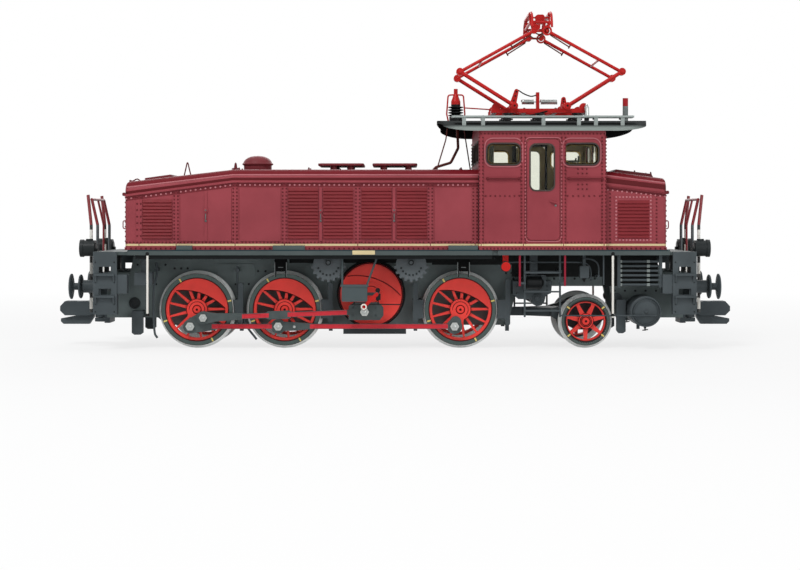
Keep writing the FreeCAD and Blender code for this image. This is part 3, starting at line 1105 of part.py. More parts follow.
def pantograph_insulators():
    """Ribbed insulators between the roof and the base frame."""
    posts = []
    base_z = PAN_BASE_Z[0]
    roof_z = roof_top_z(PAN_BASE_Y)
    pitch = (base_z - roof_z) / 3
    for x in INSULATOR_X:
        for y in (-PAN_BASE_Y, PAN_BASE_Y):
            pieces = [cyl_z(x, y, 1.8, roof_top_z(PAN_BASE_Y + 3.0) - 0.3, base_z)]
            pieces += [cyl_z(x, y, 2.9, roof_z + pitch * (i + 0.3), roof_z + pitch * (i + 0.8))
                       for i in range(3)]
            posts.append(on_roof(fuse(pieces)))
    save("pantograph_insulators", posts)


def arm_point(s, fraction):
    """Point along an upper arm, from its knee towards its top, on side s of the middle."""
    x = PAN_KNEE_DX + (PAN_TOP_DX - PAN_KNEE_DX) * fraction
    return pan(s * x), PAN_KNEE_Z + (PAN_TOP_Z - PAN_KNEE_Z) * fraction


def lower_arm(name, s):
    """Shaft in the base bearings, two arms to the knees and the spring lever."""
    shaft_x = pan(s * PAN_SHAFT_DX)
    knee_x = pan(s * PAN_KNEE_DX)
    pieces = [cyl_y(shaft_x, PAN_SHAFT_Z, PAN_SHAFT_R, -PAN_ARM_Y - 0.8, PAN_ARM_Y + 0.8)]
    for y in (-PAN_ARM_Y, PAN_ARM_Y):
        pieces += [cyl_y(shaft_x, PAN_SHAFT_Z, EYE_R, y - 0.9, y + 0.9),
                   bar((shaft_x, y, PAN_SHAFT_Z), (knee_x, y, PAN_KNEE_Z), PAN_TUBE_R),
                   cyl_y(knee_x, PAN_KNEE_Z, EYE_R, y - 0.9, y + 0.9)]
    lever_dx, lever_dz = LEVERS[name]
    pieces.append(link((shaft_x, PAN_SHAFT_Z), (shaft_x + lever_dx, PAN_SHAFT_Z + lever_dz), 2.0, 1.2,
                       -1.2, 1.2))
    arm = fuse(pieces)
    for y in (-PAN_ARM_Y, PAN_ARM_Y):
        arm = arm.cut(cyl_y(knee_x, PAN_KNEE_Z, KNEE_PIN_R + FIT, y - 2, y + 2))
    save("pantograph_lower_arm_" + name, [arm])


def upper_arm(name, s, top_bore):
    """Two arms from the knees to the head, a cross tube and the knee pins."""
    knee_x = pan(s * PAN_KNEE_DX)
    top_x = pan(s * PAN_TOP_DX)
    pieces = []
    for side in (-1, 1):
        y = side * UPPER_Y
        pieces += [cyl_y(knee_x, PAN_KNEE_Z, EYE_R, y - 0.8, y + 0.8),
                   cyl_y(knee_x, PAN_KNEE_Z, KNEE_PIN_R, y, side * (PAN_ARM_Y + 1.1)),
                   bar((knee_x, y, PAN_KNEE_Z), (top_x, y, PAN_TOP_Z), PAN_TUBE_R - 0.15),
                   cyl_y(top_x, PAN_TOP_Z, top_bore + 0.9, y - 0.8, y + 0.8)]
    x, z = arm_point(s, 0.30)
    pieces.append(cyl_y(x, z, 0.6, -UPPER_Y, UPPER_Y))
    arm = fuse(pieces)
    arm = arm.cut(cyl_y(top_x, PAN_TOP_Z, top_bore, -PAN_ARM_Y, PAN_ARM_Y))
    save("pantograph_upper_arm_" + name, [arm])


def pantograph_head():
    """Head: side plates with the arm pins, and two contact strips with drooping horns."""
    pieces = []
    top = PAN_TOP_Z
    plate = [(-6.0, top + 5.9), (-6.0, top + 4.4), (-4.6, top - 0.6), (4.6, top - 0.6),
             (6.0, top + 4.4), (6.0, top + 5.9)]
    for side in (-1, 1):
        inside, outside = side * (HEAD_IN_Y - 1.2), side * HEAD_IN_Y
        pieces.append(prism_y([(pan(dx), z) for dx, z in plate], inside, outside))
        pieces += [cyl_y(pan(dx), top, HEAD_PIN_R, inside + side * 0.2, side * (UPPER_Y + 1.1))
                   for dx in (-PAN_TOP_DX, PAN_TOP_DX)]
    tip_y, bend_y, flat_y = PAN_HEAD_HALF_Y, PAN_HEAD_HALF_Y - 3.5, PAN_HEAD_HALF_Y - 11.5
    tip_z, bend_z, flat_z = PAN_HEAD_Z - 9.5, PAN_HEAD_Z - 2.4, PAN_HEAD_Z - 0.8
    for dx in (-PAN_STRIP_DX, PAN_STRIP_DX):
        x = pan(dx)
        horn = [(x, -tip_y, tip_z), (x, -bend_y, bend_z), (x, -flat_y, flat_z),
                (x, flat_y, flat_z), (x, bend_y, bend_z), (x, tip_y, tip_z)]
        pieces.append(bent_rod(horn, 0.7, 3.0))
        pieces.append(box(x - 0.8, x + 0.8, 1.0 - HEAD_IN_Y, HEAD_IN_Y - 1.0, top + 4.2, top + 5.8))
        pieces.append(box(x - 1.1, x + 1.1, 2.0 - flat_y, flat_y - 2.0, PAN_HEAD_Z - 1.4, PAN_HEAD_Z))
        pieces += [box(x - 0.5, x + 0.5, y - 0.6, y + 0.6, top + 4.9, PAN_HEAD_Z - 0.6)
                   for y in (5.0 - flat_y, flat_y - 5.0)]
    save("pantograph_head", [fuse(pieces)])


def pantograph_springs():
    """Raising springs from the anchor towards both levers, as their outer shape, with hooks."""
    z = SPRING_Z
    springs = []
    for near, from_dx, to_dx in ((-1, -2.05, -8.85), (1, 1.55, 10.75)):
        springs.append(fuse([cyl_x(0, z, 1.4, pan(from_dx), pan(to_dx)),
                             cyl_x(0, z, 0.45, PAN_X + near * 0.9, pan(from_dx))]))
    save("pantograph_springs", springs)


# ------------------------------------------------------------------ below the footplate
def gear_housing(x):
    """Toothed cover of a traction gear, hanging from the footplate."""
    z = GEAR_Z
    y0, y1 = -DECK_HALF_Y + 6.5, -DECK_HALF_Y + 11.0
    teeth = []
    for i in range(9):
        a = math.radians(190 + 20 * i)
        corners = ((GEAR_R - 0.6, -0.12), (GEAR_R + 1.2, -0.07), (GEAR_R + 1.2, 0.07), (GEAR_R - 0.6, 0.12))
        teeth.append(prism_y([(x + r * math.cos(a + da), z + r * math.sin(a + da)) for r, da in corners],
                             y0, y1))
    boss = cyl_y(x, z + 1.0, 1.8, y0 - 1.0, y0 + 0.5)
    piece = fuse([cyl_y(x, z, GEAR_R, y0, y1), boss] + teeth)
    return piece.common(box(x - 2 * GEAR_R, x + 2 * GEAR_R, y0 - 2, y1 + 2, z - 2 * GEAR_R, DECK_Z))


def gear_housings():
    save("gear_housings", both_sides([gear_housing(x) for x in GEAR_X]))


def spring_brackets():
    """Hangers over the second and third driving axles."""
    pieces = []
    for x in HANGER_X:
        block = box(x - 3.2, x + 3.2, -34.0, -28.5, 42.6, DECK_Z)
        straps = [box(x + dx - 0.4, x + dx + 0.4, -34.6, -33.8, 38.4, 46.5) for dx in (-2.8, 2.8)]
        foot = box(x - 3.2, x + 3.2, -34.6, -30.0, 41.4, 43.0)
        pieces.append(fuse([block, foot] + straps))
    save("spring_brackets", both_sides(pieces))


def lubricators():
    """Oil pumps on two hangers each, with their drive levers."""
    x, z = JACKSHAFT_X + 3.3, JACKSHAFT_Z + 0.9       # the lever's shaft
    y0, y1 = -HOOD_HALF_Y, -HOOD_HALF_Y + 5.5
    tank = rounded_y(x - 18.4, x - 4.9, z - 3.9, z + 3.9, 0.8, y0, y1)
    lid = box(x - 19.0, x - 4.3, y0 - 0.4, y1 + 0.4, z + 3.9, z + 5.0)
    y = y0 + 1.3
    hangers = [bar((x - 18.1, y, z + 4.6), (x - 18.1, y, DECK_Z), 0.55),
               bar((x - 5.2, y, z + 4.6), (x + 0.6, y, DECK_Z), 0.55)]
    shaft = cyl_y(x, z, 1.3, y0 + 0.5, y1 - 0.5)
    stay = box(x - 5.0, x, y0 + 3.4, y0 + 4.6, z - 0.8, z + 0.8)
    body = fuse([tank, lid] + hangers + [shaft, stay])
    body = body.common(box(x - 25, x + 10, y0 - 5, y1 + 5, 0, DECK_Z))
    eye = (x - 6.7, z - 6.6)
    lever = fuse([link((x, z), eye, 1.0, 0.8, y0 - 0.2, y0 + 0.6),
                  cyl_y(*eye, 1.7, y0 - 0.6, y0 + 0.6).cut(cyl_y(*eye, 0.8, y0 - 2, y0 + 2))])
    save("lubricators", both_sides([body, lever.cut(shaft)]))


def brake_shoe(wheel, toward, reach, hang_z):
    """Hanger and block beside a driving wheel, clear of its tread, with its pull rod's foot."""
    wheel_x = DRIVER_X[wheel]
    x = wheel_x + toward * (DRIVER_TREAD_R + reach)
    y0, y1 = -WHEEL_OUT + 0.2, -WHEEL_IN - FLANGE_WIDTH - 0.9
    low = BRAKE_LOW_Z
    pad = box(x + 0.3 * toward, x - 6.0 * toward, y0, y1, DRIVER_Z - 4.78, DRIVER_Z + 5.22)
    pad = pad.cut(cyl_y(wheel_x, DRIVER_Z, DRIVER_TREAD_R + BRAKE_CLEAR, y0 - CUT, y1 + CUT))
    pieces = [link((x, hang_z), (x, low), 1.3, 1.3, y0, y0 + 1.6), pad]
    pieces += [cyl_y(x, z, BRAKE_PIN_R, y0 + 0.2, -FRAME_OUT_Y) for z in (hang_z, low)]
    pieces.append(box(x - 1.0, x + 1.0, -FRAME_OUT_Y - 3.1, -FRAME_OUT_Y - 0.7, low - 4.5, low))
    return fuse(pieces)


def brake_rigging():
    """Brake blocks on their hangers and the low tray between the frames."""
    tray = fuse([box(-28.0, 6.0, -FRAME_IN_Y - 1, FRAME_IN_Y + 1, 7.0, FRAME_LOW_Z - 0.1),
                 box(-14.0, -8.0, -FRAME_OUT_Y, FRAME_OUT_Y, 9.0, FRAME_LOW_Z)])
    save("brake_rigging", both_sides([brake_shoe(*row) for row in BRAKES]) + [tray])


def guard_iron(outline, foot_x, foot_z):
    """Iron hanging ahead of a wheel, with its foot on the frame plate."""
    y = -WHEEL_IN - 1.5
    foot = box(*foot_x, y - 0.5, -FRAME_OUT_Y, *foot_z)
    return fuse([prism_y(outline, y - 3.0, y), foot])


def rail_guards():
    """Guard irons ahead of the first wheels at each end."""
    x = PILOT_X + 16.6
    front = [(x, 26.0), (x + 4.9, 26.0), (x + 4.9, 9.0), (x + 3.5, 8.0), (x + 1.1, 8.0), (x, 9.5)]
    r = FRAME_STEP_X[0]
    rear = [(-r, 20.0), (6 - r, 20.0), (6 - r, 8.2), (4.6 - r, 7.2), (1.4 - r, 7.2), (-r, 8.2)]
    save("rail_guards", both_sides([guard_iron(front, (x + 0.9, x + 4.9), (22.0, 26.0)),
                                    guard_iron(rear, (-r, 6 - r), (16.5, 20.0))]))


def cab_ladders():
    """Steps and grab rails below the cab doors, and the thin rod from them past the tank."""
    y, rail_y = -LADDER_Y, -DECK_HALF_Y + 1.2
    x0, x1 = LADDER_X
    low, high = GRAB_RAIL_X
    pieces = [box(x - 0.5, x + 0.5, y - 0.5, y + 0.5, 17.5, DECK_Z) for x in LADDER_X]
    pieces += [box(x0 - 0.4, x1 + 0.4, y - 1.6, y + 0.5, z, z + 0.8) for z in LADDER_RUNG_Z]
    pieces += [cyl_z(x, rail_y, 0.55, 34.0, DECK_Z) for x in GRAB_RAIL_X]
    pieces += [box(xa, xb, rail_y - 0.1, y - 0.4, 35.0, 36.0)
               for xa, xb in ((low - 0.5, x0 + 0.2), (x1 - 0.2, high + 0.5))]
    rod = cyl_x(y - 0.45, TANK_Z - 2.0, 0.35, x1 + 0.5, TANK_X + 5.6)
    save("cab_ladders", both_sides([fuse(pieces), rod]))


def air_tanks():
    """Air reservoir on each side, with domed outer ends."""
    x, z, r = TANK_X, TANK_Z, TANK_R
    end_y = -DECK_HALF_Y + 8.0
    tank = fuse([cyl_y(x, z, r, end_y, -FRAME_OUT_Y),
                 Part.makeCone(r, r - 2.0, 1.2, V(x, end_y, z), V(0, -1, 0)),
                 Part.makeCone(r - 2.0, 2.0, 0.8, V(x, end_y - 1.2, z), V(0, -1, 0)),
                 box(x - 3.5, x - 2.0, end_y + 8.0, end_y + 10.0, z - 9.7, z - 6.3)])
    save("air_tanks", both_sides([tank]))


def cooling_pipes():
    """Bank of horizontal pipes in two headers under the footplate."""
    y = -LADDER_Y
    low_z = DECK_Z - PIPES * PIPE_PITCH - 0.9
    headers = [box(x - 0.8, x + 0.8, y - 0.9, y + 0.9, low_z - 1.4, DECK_Z) for x in PIPES_X]
    pipes = [cyl_x(y, low_z + PIPE_PITCH * i, 0.62, *PIPES_X) for i in range(PIPES)]
    save("cooling_pipes", both_sides([fuse(headers + pipes)]))


def equipment_boxes():
    """Boxes and valves hung under the running plate, and a box behind each corner step."""
    x0, x1 = DECK_X[0] + 2.4, DOOR_X[0] - 0.2
    pieces = []
    # box x, y and z ranges, then the x and y ranges of the stem above it
    for bx, by, bz, sx, sy in (
            ((x0, x0 + 9.4), (-38.0, -31.0), (34.2, 41.0), (x0 + 3.2, x0 + 6.2), (-36.0, -33.0)),
            ((x1, x1 + 11.4), (-34.0, -22.0), (30.6, 39.4), (x1 + 3.2, x1 + 7.2), (-30.0, -26.0)),
            ((97.6, 102.4), (-40.0, -34.0), (38.0, 44.4), (99.2, 100.8), (-38.0, -36.0))):
        pieces.append(fuse([rounded_y(*bx, *bz, 0.6, *by), box(*sx, *sy, bz[1] - 0.2, DECK_Z)]))
    corner = box(STEP_X[0] - 5.2, STEP_X[0], -STEP_OUT_Y + 0.7, -STEP_OUT_Y + 7.5, 30.0, BEAM_Z[1] - 0.5)
    save("equipment_boxes", both_sides(pieces + both_ends([corner])))


def side_valves():
    """Red valve knobs under the cab corner."""
    x, z, y = CAB_X[0] + 14.1, DECK_Z - 6.0, -CAB_HALF_Y
    knob = fuse([cyl_y(x, z, 2.4, y + 0.4, y + 1.8), cyl_y(x, z, 0.8, y + 1.6, y + 7.0),
                 box(x - 1.5, x + 1.5, y + 4.0, y + 7.0, z - 1.4, DECK_Z)])
    save("side_valves", both_sides([knob]))


# ------------------------------------------------------------------ end fittings
def end_railings():
    """Railing over each buffer beam: three uprights that lean out under a top rail."""
    foot_x, top_x = BEAM_X + 1.9, BEAM_X + 5.0
    foot_z = PLATFORM_Z[0] - 0.2
    pieces = []
    for y, r in ((-RAIL_POST_Y, 0.8), (0.0, 0.6), (RAIL_POST_Y, 0.8)):
        pieces.append(bent_rod([(foot_x, y, foot_z - 0.1), (foot_x, y, RAIL_KINK_Z),
                                (top_x, y, RAIL_TOP_Z)], r, 8.0))
        pieces.append(box(BEAM_X, foot_x + 0.6, y - 1.0, y + 1.0, foot_z, foot_z + 1.6))
    end_y = RAIL_POST_Y + 0.6
    pieces.append(bar((top_x, -end_y, RAIL_TOP_Z), (top_x, end_y, RAIL_TOP_Z), 0.7))
    save("end_railings", both_ends([fuse(pieces)]))


def hand_poles():
    """Hand poles on the face of each beam, bent outwards at the top, and the side handrails."""
    x, y = BEAM_X + 3.6, -POLE_Y
    pole = bent_rod([(x, y, STEP_LOW_Z), (x, y, RAIL_KINK_Z), (x + 2.8, y, RAIL_TOP_Z + 2.4)], 0.85, 8.0)
    clips = [box(BEAM_X, x + 0.4, y - 0.9, y + 0.9, z, z + 1.6)
             for z in (BEAM_Z[0] + 2.0, BEAM_Z[1] - 2.5, PLATFORM_Z[0] - 0.2)]
    rails = [cyl_z(rail_x, -HANDRAIL_Y, 0.6, low_z, DECK_Z)
             for rail_x, low_z in ((DECK_X[0] + 10.4, 19.0), (114.2, 17.5))]
    save("hand_poles", both_ends(both_sides([fuse([pole] + clips)])) + both_sides(rails))


def lanterns():
    """Barrel lanterns at the platform edge."""
    y, z, r = -LANTERN_Y, LANTERN_Z, LANTERN_R
    x0 = BEAM_X + 1.4
    body = fuse([cyl_x(y, z, r, x0, x0 + 6.6), cyl_x(y, z, r + 0.4, x0 + 6.2, x0 + 8.0),
                 cyl_z(x0 + 3.2, y, 1.9, z + r - 0.8, z + r + 0.7),
                 cyl_x(y, z, r - 1.3, x0 - 0.5, x0 + 1.0)])
    body = body.cut(cyl_x(y, z, r - 0.4, x0 + 7.0, x0 + 9.0))
    bracket = box(BEAM_X, x0 + 0.4, y - 1.6, y + 1.6, PLATFORM_Z[0] - 0.2, z)
    save("lanterns", both_ends(both_sides([fuse([body, bracket])])))


def motor_block():
    """Traction motor in the long hood, as one plain mass."""
    save("motor_block", [box(-72.0, 22.0, -24.0, 24.0, DECK_TOP, LONG_CROWN_Z[1] - 12.3)])


# ------------------------------------------------------------------ build
def build():
    os.makedirs("parts", exist_ok=True)
    wheelsets()
    jackshaft()
    rods()
    main_frame()
    pony_truck()
    footplate()
    buffer_beams()
    end_platforms()
    corner_steps()
    buffers()
    couplers()
    long_hood()
    short_hood()
    hood_louvres()
    hood_fittings()
    cab_walls()
    cab_glass()
    cab_door("right", -1)
    cab_door("left", 1)
    control_desk()
    cab_roof()
    roof_walkways()
    roof_post()
    arrester()
    roof_leads()
    pantograph_base()
    pantograph_insulators()
    lower_arm("rear", -1)
    lower_arm("front", 1)
    upper_arm("rear", -1, HEAD_PIN_R + FIT)
    upper_arm("front", 1, OPEN_BORE_R)
    pantograph_head()
    pantograph_springs()
    gear_housings()
    spring_brackets()
    lubricators()
    brake_rigging()
    rail_guards()
    cab_ladders()
    air_tanks()
    cooling_pipes()
    equipment_boxes()
    side_valves()
    end_railings()
    hand_poles()
    lanterns()
    motor_block()


build()
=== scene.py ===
"""Looks of the electric locomotive model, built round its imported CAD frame.

The CAD row frame is kept: +X towards the cab end, +Z up, and -Y is the locomotive's right side,
which the camera faces.  Lengths written here are in millimetres unless a line says metres;
pieces and shades turn them into metres.
"""

import collections
import math

import bmesh
import bpy
from mathutils import Matrix, Vector


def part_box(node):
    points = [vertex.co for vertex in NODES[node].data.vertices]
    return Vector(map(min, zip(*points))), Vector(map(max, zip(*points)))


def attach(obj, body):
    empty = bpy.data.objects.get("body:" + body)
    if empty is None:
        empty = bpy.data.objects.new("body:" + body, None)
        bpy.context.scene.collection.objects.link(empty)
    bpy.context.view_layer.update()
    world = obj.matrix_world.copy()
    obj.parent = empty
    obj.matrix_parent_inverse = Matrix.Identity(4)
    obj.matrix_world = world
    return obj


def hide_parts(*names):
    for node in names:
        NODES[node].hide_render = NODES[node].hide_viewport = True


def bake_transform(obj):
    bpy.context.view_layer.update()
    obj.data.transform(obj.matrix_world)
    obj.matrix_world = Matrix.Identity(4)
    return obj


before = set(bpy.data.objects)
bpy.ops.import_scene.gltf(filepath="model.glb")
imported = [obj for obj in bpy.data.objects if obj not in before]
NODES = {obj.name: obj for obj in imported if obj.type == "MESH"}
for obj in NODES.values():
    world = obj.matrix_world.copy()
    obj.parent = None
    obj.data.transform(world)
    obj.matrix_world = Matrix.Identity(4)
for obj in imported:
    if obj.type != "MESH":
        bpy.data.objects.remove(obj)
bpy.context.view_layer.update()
MM = 0.001
SIDES = (-1, 1)
ENDS = (-1, 1)
Corner = collections.namedtuple("Corner", "x y z")


def node_box(node):
    """Low and high corner of a CAD node's box."""
    return [Corner(*(value / MM for value in corner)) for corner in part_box(node)]


# ------------------------------------------------------------------ camera, floor and light
CAMERA_AT = (2.7 * MM, -930.0 * MM, 68.65 * MM)
CAMERA_LENS = 76.0
CAMERA_SHIFT_Y = -0.0812
FLOOR_HALF = 4.0                        # in metres
FLOOR_GLOW = 0.78
GLOW_FROM, GLOW_TO = 0.25, 0.75         # metres from the middle, where plain white takes over
AIM = (0, 0, 0.07)                      # what every lamp points at, in metres
# lamp, place and size in metres, watts
LAMPS = (("key_light", (-0.45, -0.85, 1.10), (0.45, 0.35), 9.5),
         ("fill_light", (0.75, -1.10, 0.40), (0.9, 0.8), 4.5),
         ("top_light", (0.0, 0.10, 1.20), (1.4, 0.7), 2.2),
         ("back_light", (0.1, 1.10, 0.60), (1.2, 0.6), 4.5))


def add_object(name, data):
    made = bpy.data.objects.new(name, data)
    bpy.context.scene.collection.objects.link(made)
    return made


def add_camera():
    data = bpy.data.cameras.new("camera")
    data.lens = CAMERA_LENS
    data.sensor_width = 36.0
    data.shift_y = CAMERA_SHIFT_Y
    data.clip_start, data.clip_end = 0.01, 30.0
    camera = add_object("camera", data)
    camera.location = CAMERA_AT
    camera.rotation_euler = (math.radians(90), 0, 0)
    bpy.context.scene.camera = camera


def add_lamps():
    for name, place, size, watts in LAMPS:
        data = bpy.data.lights.new(name, "AREA")
        data.shape = "RECTANGLE"
        data.size, data.size_y = size
        data.energy = watts
        lamp = add_object(name, data)
        lamp.location = place
        lamp.rotation_euler = (Vector(AIM) - Vector(place)).to_track_quat("-Z", "Y").to_euler()


def fill(tree, slot, term):
    """Give an input a value, or link it when the term is another node's output."""
    if isinstance(term, bpy.types.NodeSocket):
        tree.links.new(term, slot)
    else:
        slot.default_value = term


def add_node(tree, kind, *terms, operation=None, **named):
    """New shader node whose inputs take their terms in order or by name."""
    node = tree.nodes.new("ShaderNode" + kind)
    if operation:
        node.operation = operation
    for slot, term in zip(node.inputs, terms):
        fill(tree, slot, term)
    for name, term in named.items():
        fill(tree, node.inputs[name.replace("_", " ")], term)
    return node


def cleared(owner):
    """Empty node tree of a material or a world."""
    owner.use_nodes = True
    owner.node_tree.nodes.clear()
    return owner.node_tree


def show(tree, kind, share, first, second):
    """Finish a tree with one shader or the other, by a share from 0 to 1."""
    mix = add_node(tree, "MixShader", share, first.outputs[0], second.outputs[0])
    add_node(tree, "Output" + kind, mix.outputs[0])


def seen_directly(tree):
    """1 for rays from the camera, a mirror or glass, 0 for the rays that carry light."""
    rays = add_node(tree, "LightPath").outputs
    share = rays["Is Camera Ray"]
    for name in ("Is Glossy Ray", "Is Transmission Ray"):
        share = add_node(tree, "Math", share, rays[name], operation="MAXIMUM").outputs[0]
    return share


def add_world():
    world = bpy.data.worlds.new("studio")
    bpy.context.scene.world = world
    tree = cleared(world)
    light = add_node(tree, "Background", Color=(0.96, 0.98, 1.0, 1), Strength=0.30)
    white = add_node(tree, "Background", Color=(1, 1, 1, 1), Strength=1.0)
    show(tree, "World", seen_directly(tree), light, white)


def glow_share(tree):
    """How much of the floor's look is plain white: some under the object, all of it far away."""
    place = add_node(tree, "TexCoord").outputs["Object"]
    far = add_node(tree, "VectorMath", place, operation="LENGTH").outputs["Value"]
    return add_node(tree, "MapRange", Value=far, From_Min=GLOW_FROM, From_Max=GLOW_TO,
                    To_Min=FLOOR_GLOW, To_Max=1.0).outputs["Result"]


def add_floor():
    """Pale floor that shows almost white to the camera and keeps the object's shadow."""
    material = bpy.data.materials.new("floor_white")
    tree = cleared(material)
    lit = add_node(tree, "BsdfDiffuse", Color=(0.86, 0.86, 0.86, 1))
    glow = add_node(tree, "Emission", Strength=1.0)
    share = add_node(tree, "Math", seen_directly(tree), glow_share(tree), operation="MULTIPLY")
    show(tree, "Material", share.outputs[0], lit, glow)
    mesh = bpy.data.meshes.new("floor")
    corners = [(x * FLOOR_HALF, y * FLOOR_HALF, 0) for x, y in ((-1, -1), (1, -1), (1, 1), (-1, 1))]
    mesh.from_pydata(corners, [], [(0, 1, 2, 3)])
    mesh.materials.append(material)
    add_object("floor", mesh)


def add_studio():
    add_camera()
    add_world()
    add_floor()
    add_lamps()
    bpy.context.scene.view_settings.view_transform = "Standard"


# ------------------------------------------------------------------ materials
def srgb(red, green, blue):
    """Colour as a screen shows it, 0 to 255, to the linear one that a shader takes."""
    return tuple((c / 255 / 12.92 if c <= 10 else ((c / 255 + 0.055) / 1.055) ** 2.4)
                 for c in (red, green, blue)) + (1,)


def darker(colour, factor):
    return tuple(c * factor for c in colour[:3]) + (1,)


BODY_RED = srgb(149, 68, 75)
BODY_RED_DARK = srgb(128, 48, 55)
# painted shade: the hoods' crowns, the groove over the rain strip and the band under it are deeper
# reds where shade falls
CROWN_SHADE_RED = srgb(112, 27, 35)
GROOVE_SHADE_RED = srgb(92, 30, 34)
STRIP_SHADE_RED = srgb(118, 48, 54)
SIGNAL_RED = srgb(243, 70, 62)
RAIL_RED = srgb(128, 30, 38)
GRAB_RED = srgb(150, 38, 56)
POST_RED = srgb(176, 40, 46)
PAN_RED = srgb(186, 36, 34)
FRAME_BLACK = srgb(73, 80, 83)
# painted light: the main frame plates are a lighter grey than the frame's black, standing in for
# light under the deck
FRAME_PLATE_LIT = srgb(104, 114, 114)
FRAME_DEEP = srgb(20, 23, 23)
DECK_LINE, DECK_ANGLE = srgb(34, 54, 58), srgb(22, 25, 26)
ROOF_GREY = srgb(142, 151, 147)
ROOF_DARK = srgb(66, 69, 69)
CAB_LINING = srgb(206, 192, 150)
CREAM = srgb(224, 206, 160)
WHITE = srgb(236, 234, 226)
JET = srgb(22, 23, 24)


class Shade:
    """Node tree of one material, with short calls for the nodes that the finishes share.

    Places come from the tree in metres; lengths given to the calls are in mm."""

    def __init__(self, name):
        self.name = name
        self.material = bpy.data.materials.new("look_" + name)
        self.material.use_nodes = True
        self.tree = self.material.node_tree
        self.shader = self.tree.nodes["Principled BSDF"]
        self.place = self.node("TexCoord").outputs["Object"]
        self.x, self.y, self.z = self.node("SeparateXYZ", self.place).outputs

    def node(self, kind, *terms, **named):
        return add_node(self.tree, kind, *terms, **named)

    def set(self, **named):
        """Inputs of the material's shader, by name."""
        for name, term in named.items():
            fill(self.tree, self.shader.inputs[name.replace("_", " ")], term)

    def math(self, operation, *terms):
        return self.node("Math", *terms, operation=operation).outputs[0]

    def noise(self, size, detail=3.0, rough=0.5):
        """Noise whose blotches are about so large, 0 to 1."""
        return self.node("TexNoise", Vector=self.place, Scale=1 / (size * MM), Detail=detail,
                         Roughness=rough).outputs["Fac"]

    def spread(self, value, low, high, to_low, to_high):
        return self.node("MapRange", Value=value, From_Min=low, From_Max=high, To_Min=to_low,
                         To_Max=to_high).outputs["Result"]

    def mix(self, share, first, second):
        """Colours first and second, by a share from 0 to 1."""
        node = self.node("Mix", share)
        node.data_type = "RGBA"
        for slot, term in zip([s for s in node.inputs if s.type == "RGBA"], (first, second)):
            fill(self.tree, slot, term)
        return [s for s in node.outputs if s.type == "RGBA"][0]

    def both(self, first, second):
        return self.math("MULTIPLY", first, second)

    def wide(self):
        """Distance from the middle plane."""
        return self.math("ABSOLUTE", self.y)

    def off(self, value, centre):
        """Distance of the value from a length."""
        return self.math("ABSOLUTE", self.math("SUBTRACT", value, centre * MM))

    def over(self, value, length):
        return self.math("GREATER_THAN", value, length * MM)

    def under(self, value, length):
        return self.math("LESS_THAN", value, length * MM)

    def within(self, value, low, high):
        """1 where the value lies between two lengths."""
        return self.both(self.over(value, low), self.under(value, high))

    def bump(self, height, strength, distance):
        node = self.node("Bump", Strength=strength, Distance=distance * MM, Height=height)
        self.set(Normal=node.outputs["Normal"])

    def facing(self, axis):
        """How far the surface faces along an axis, -1 to 1."""
        normal = self.node("NewGeometry").outputs["True Normal"]
        return self.node("SeparateXYZ", normal).outputs[axis]


def painted(name, colour, roughness=0.42, tone=0.10, grain=0.12, coat=0.0, touches=(), gloss=0.12):
    """Sprayed model paint: faint clouds of tone, fine grain and slightly uneven gloss.

    Each touch takes the shade and its colour so far and paints some part of it over."""
    shade = Shade(name)
    paint = shade.mix(shade.spread(shade.noise(18, 4.0), 0.3, 0.7, 0, 1), darker(colour, 1 - tone),
                      darker(colour, 1 + tone))
    for touch in touches:
        paint = touch(shade, paint)
    rough = shade.spread(shade.noise(2.5), 0.25, 0.75, roughness - 0.06, roughness + 0.06)
    shade.set(Base_Color=paint, Roughness=rough, Specular_IOR_Level=gloss, Coat_Weight=coat)
    shade.bump(shade.noise(0.35, 2.0), grain, 0.05)
    return shade


CAB_WALL, CAB_LINING_Y = 1.45, 43.75
TICK_HALF = 0.22                                # half a sheet joint's width in the cream line
CROWN_FROM, CROWN_FULL = 1.7, 3.4               # roof's dark crown, over the roof's edge
PLANK_JOINTS_Y, JOINT_HALF, PLANK_DEEP = (35, 38), 0.12, 0.8
POST_CAP = 4.4                                  # how far the post's red reaches down
ARRESTER_X, HORN_FROM, CAP_TALL = 33.4, 3.9, 8.6
DECK_LINE_Z, ANGLE_TOP = (4.2, 4.85), 1.98      # over the foot of the running plate
GRAB_X, GRAB_HALF, GRAB_FROM_Y = (65.5, 89.2), 0.6, 44.2


def inside_cab(shade):
    """1 on what faces the inside of the cab."""
    low, high = node_box("cab_walls")
    along = shade.within(shade.x, low.x + CAB_WALL, high.x - CAB_WALL)
    return shade.both(along, shade.under(shade.wide(), CAB_LINING_Y))


def lined(shade, paint):
    """Cream lining inside the cab."""
    return shade.mix(inside_cab(shade), paint, CAB_LINING)


def striped(shade, paint):
    """Cream line round the foot of the body, with dark ticks where the sheets meet."""
    band = shade.within(shade.z, *STRIPE_Z)
    joint = shade.math("LESS_THAN", shade.x, -1.0)        # nowhere yet
    for seam in LONG_SEAMS + CAB_SEAMS:
        joint = shade.math("MAXIMUM", joint, shade.under(shade.off(shade.x, seam), TICK_HALF))
    return shade.mix(band, paint, shade.mix(joint, CREAM, darker(BODY_RED_DARK, 0.6)))


HOODS_APART_X = 77.0
# one hood: rain strip's line from (x, z) to (x, z), then over it the groove's span and the
# crown's start
SHOULDERS = (((-142.0, 81.0), (-85.3, 88.4), (1.2, 2.6), 4.4),
             ((110.7, 87.1), (142.9, 83.3), (1.2, 3.9), 5.2))


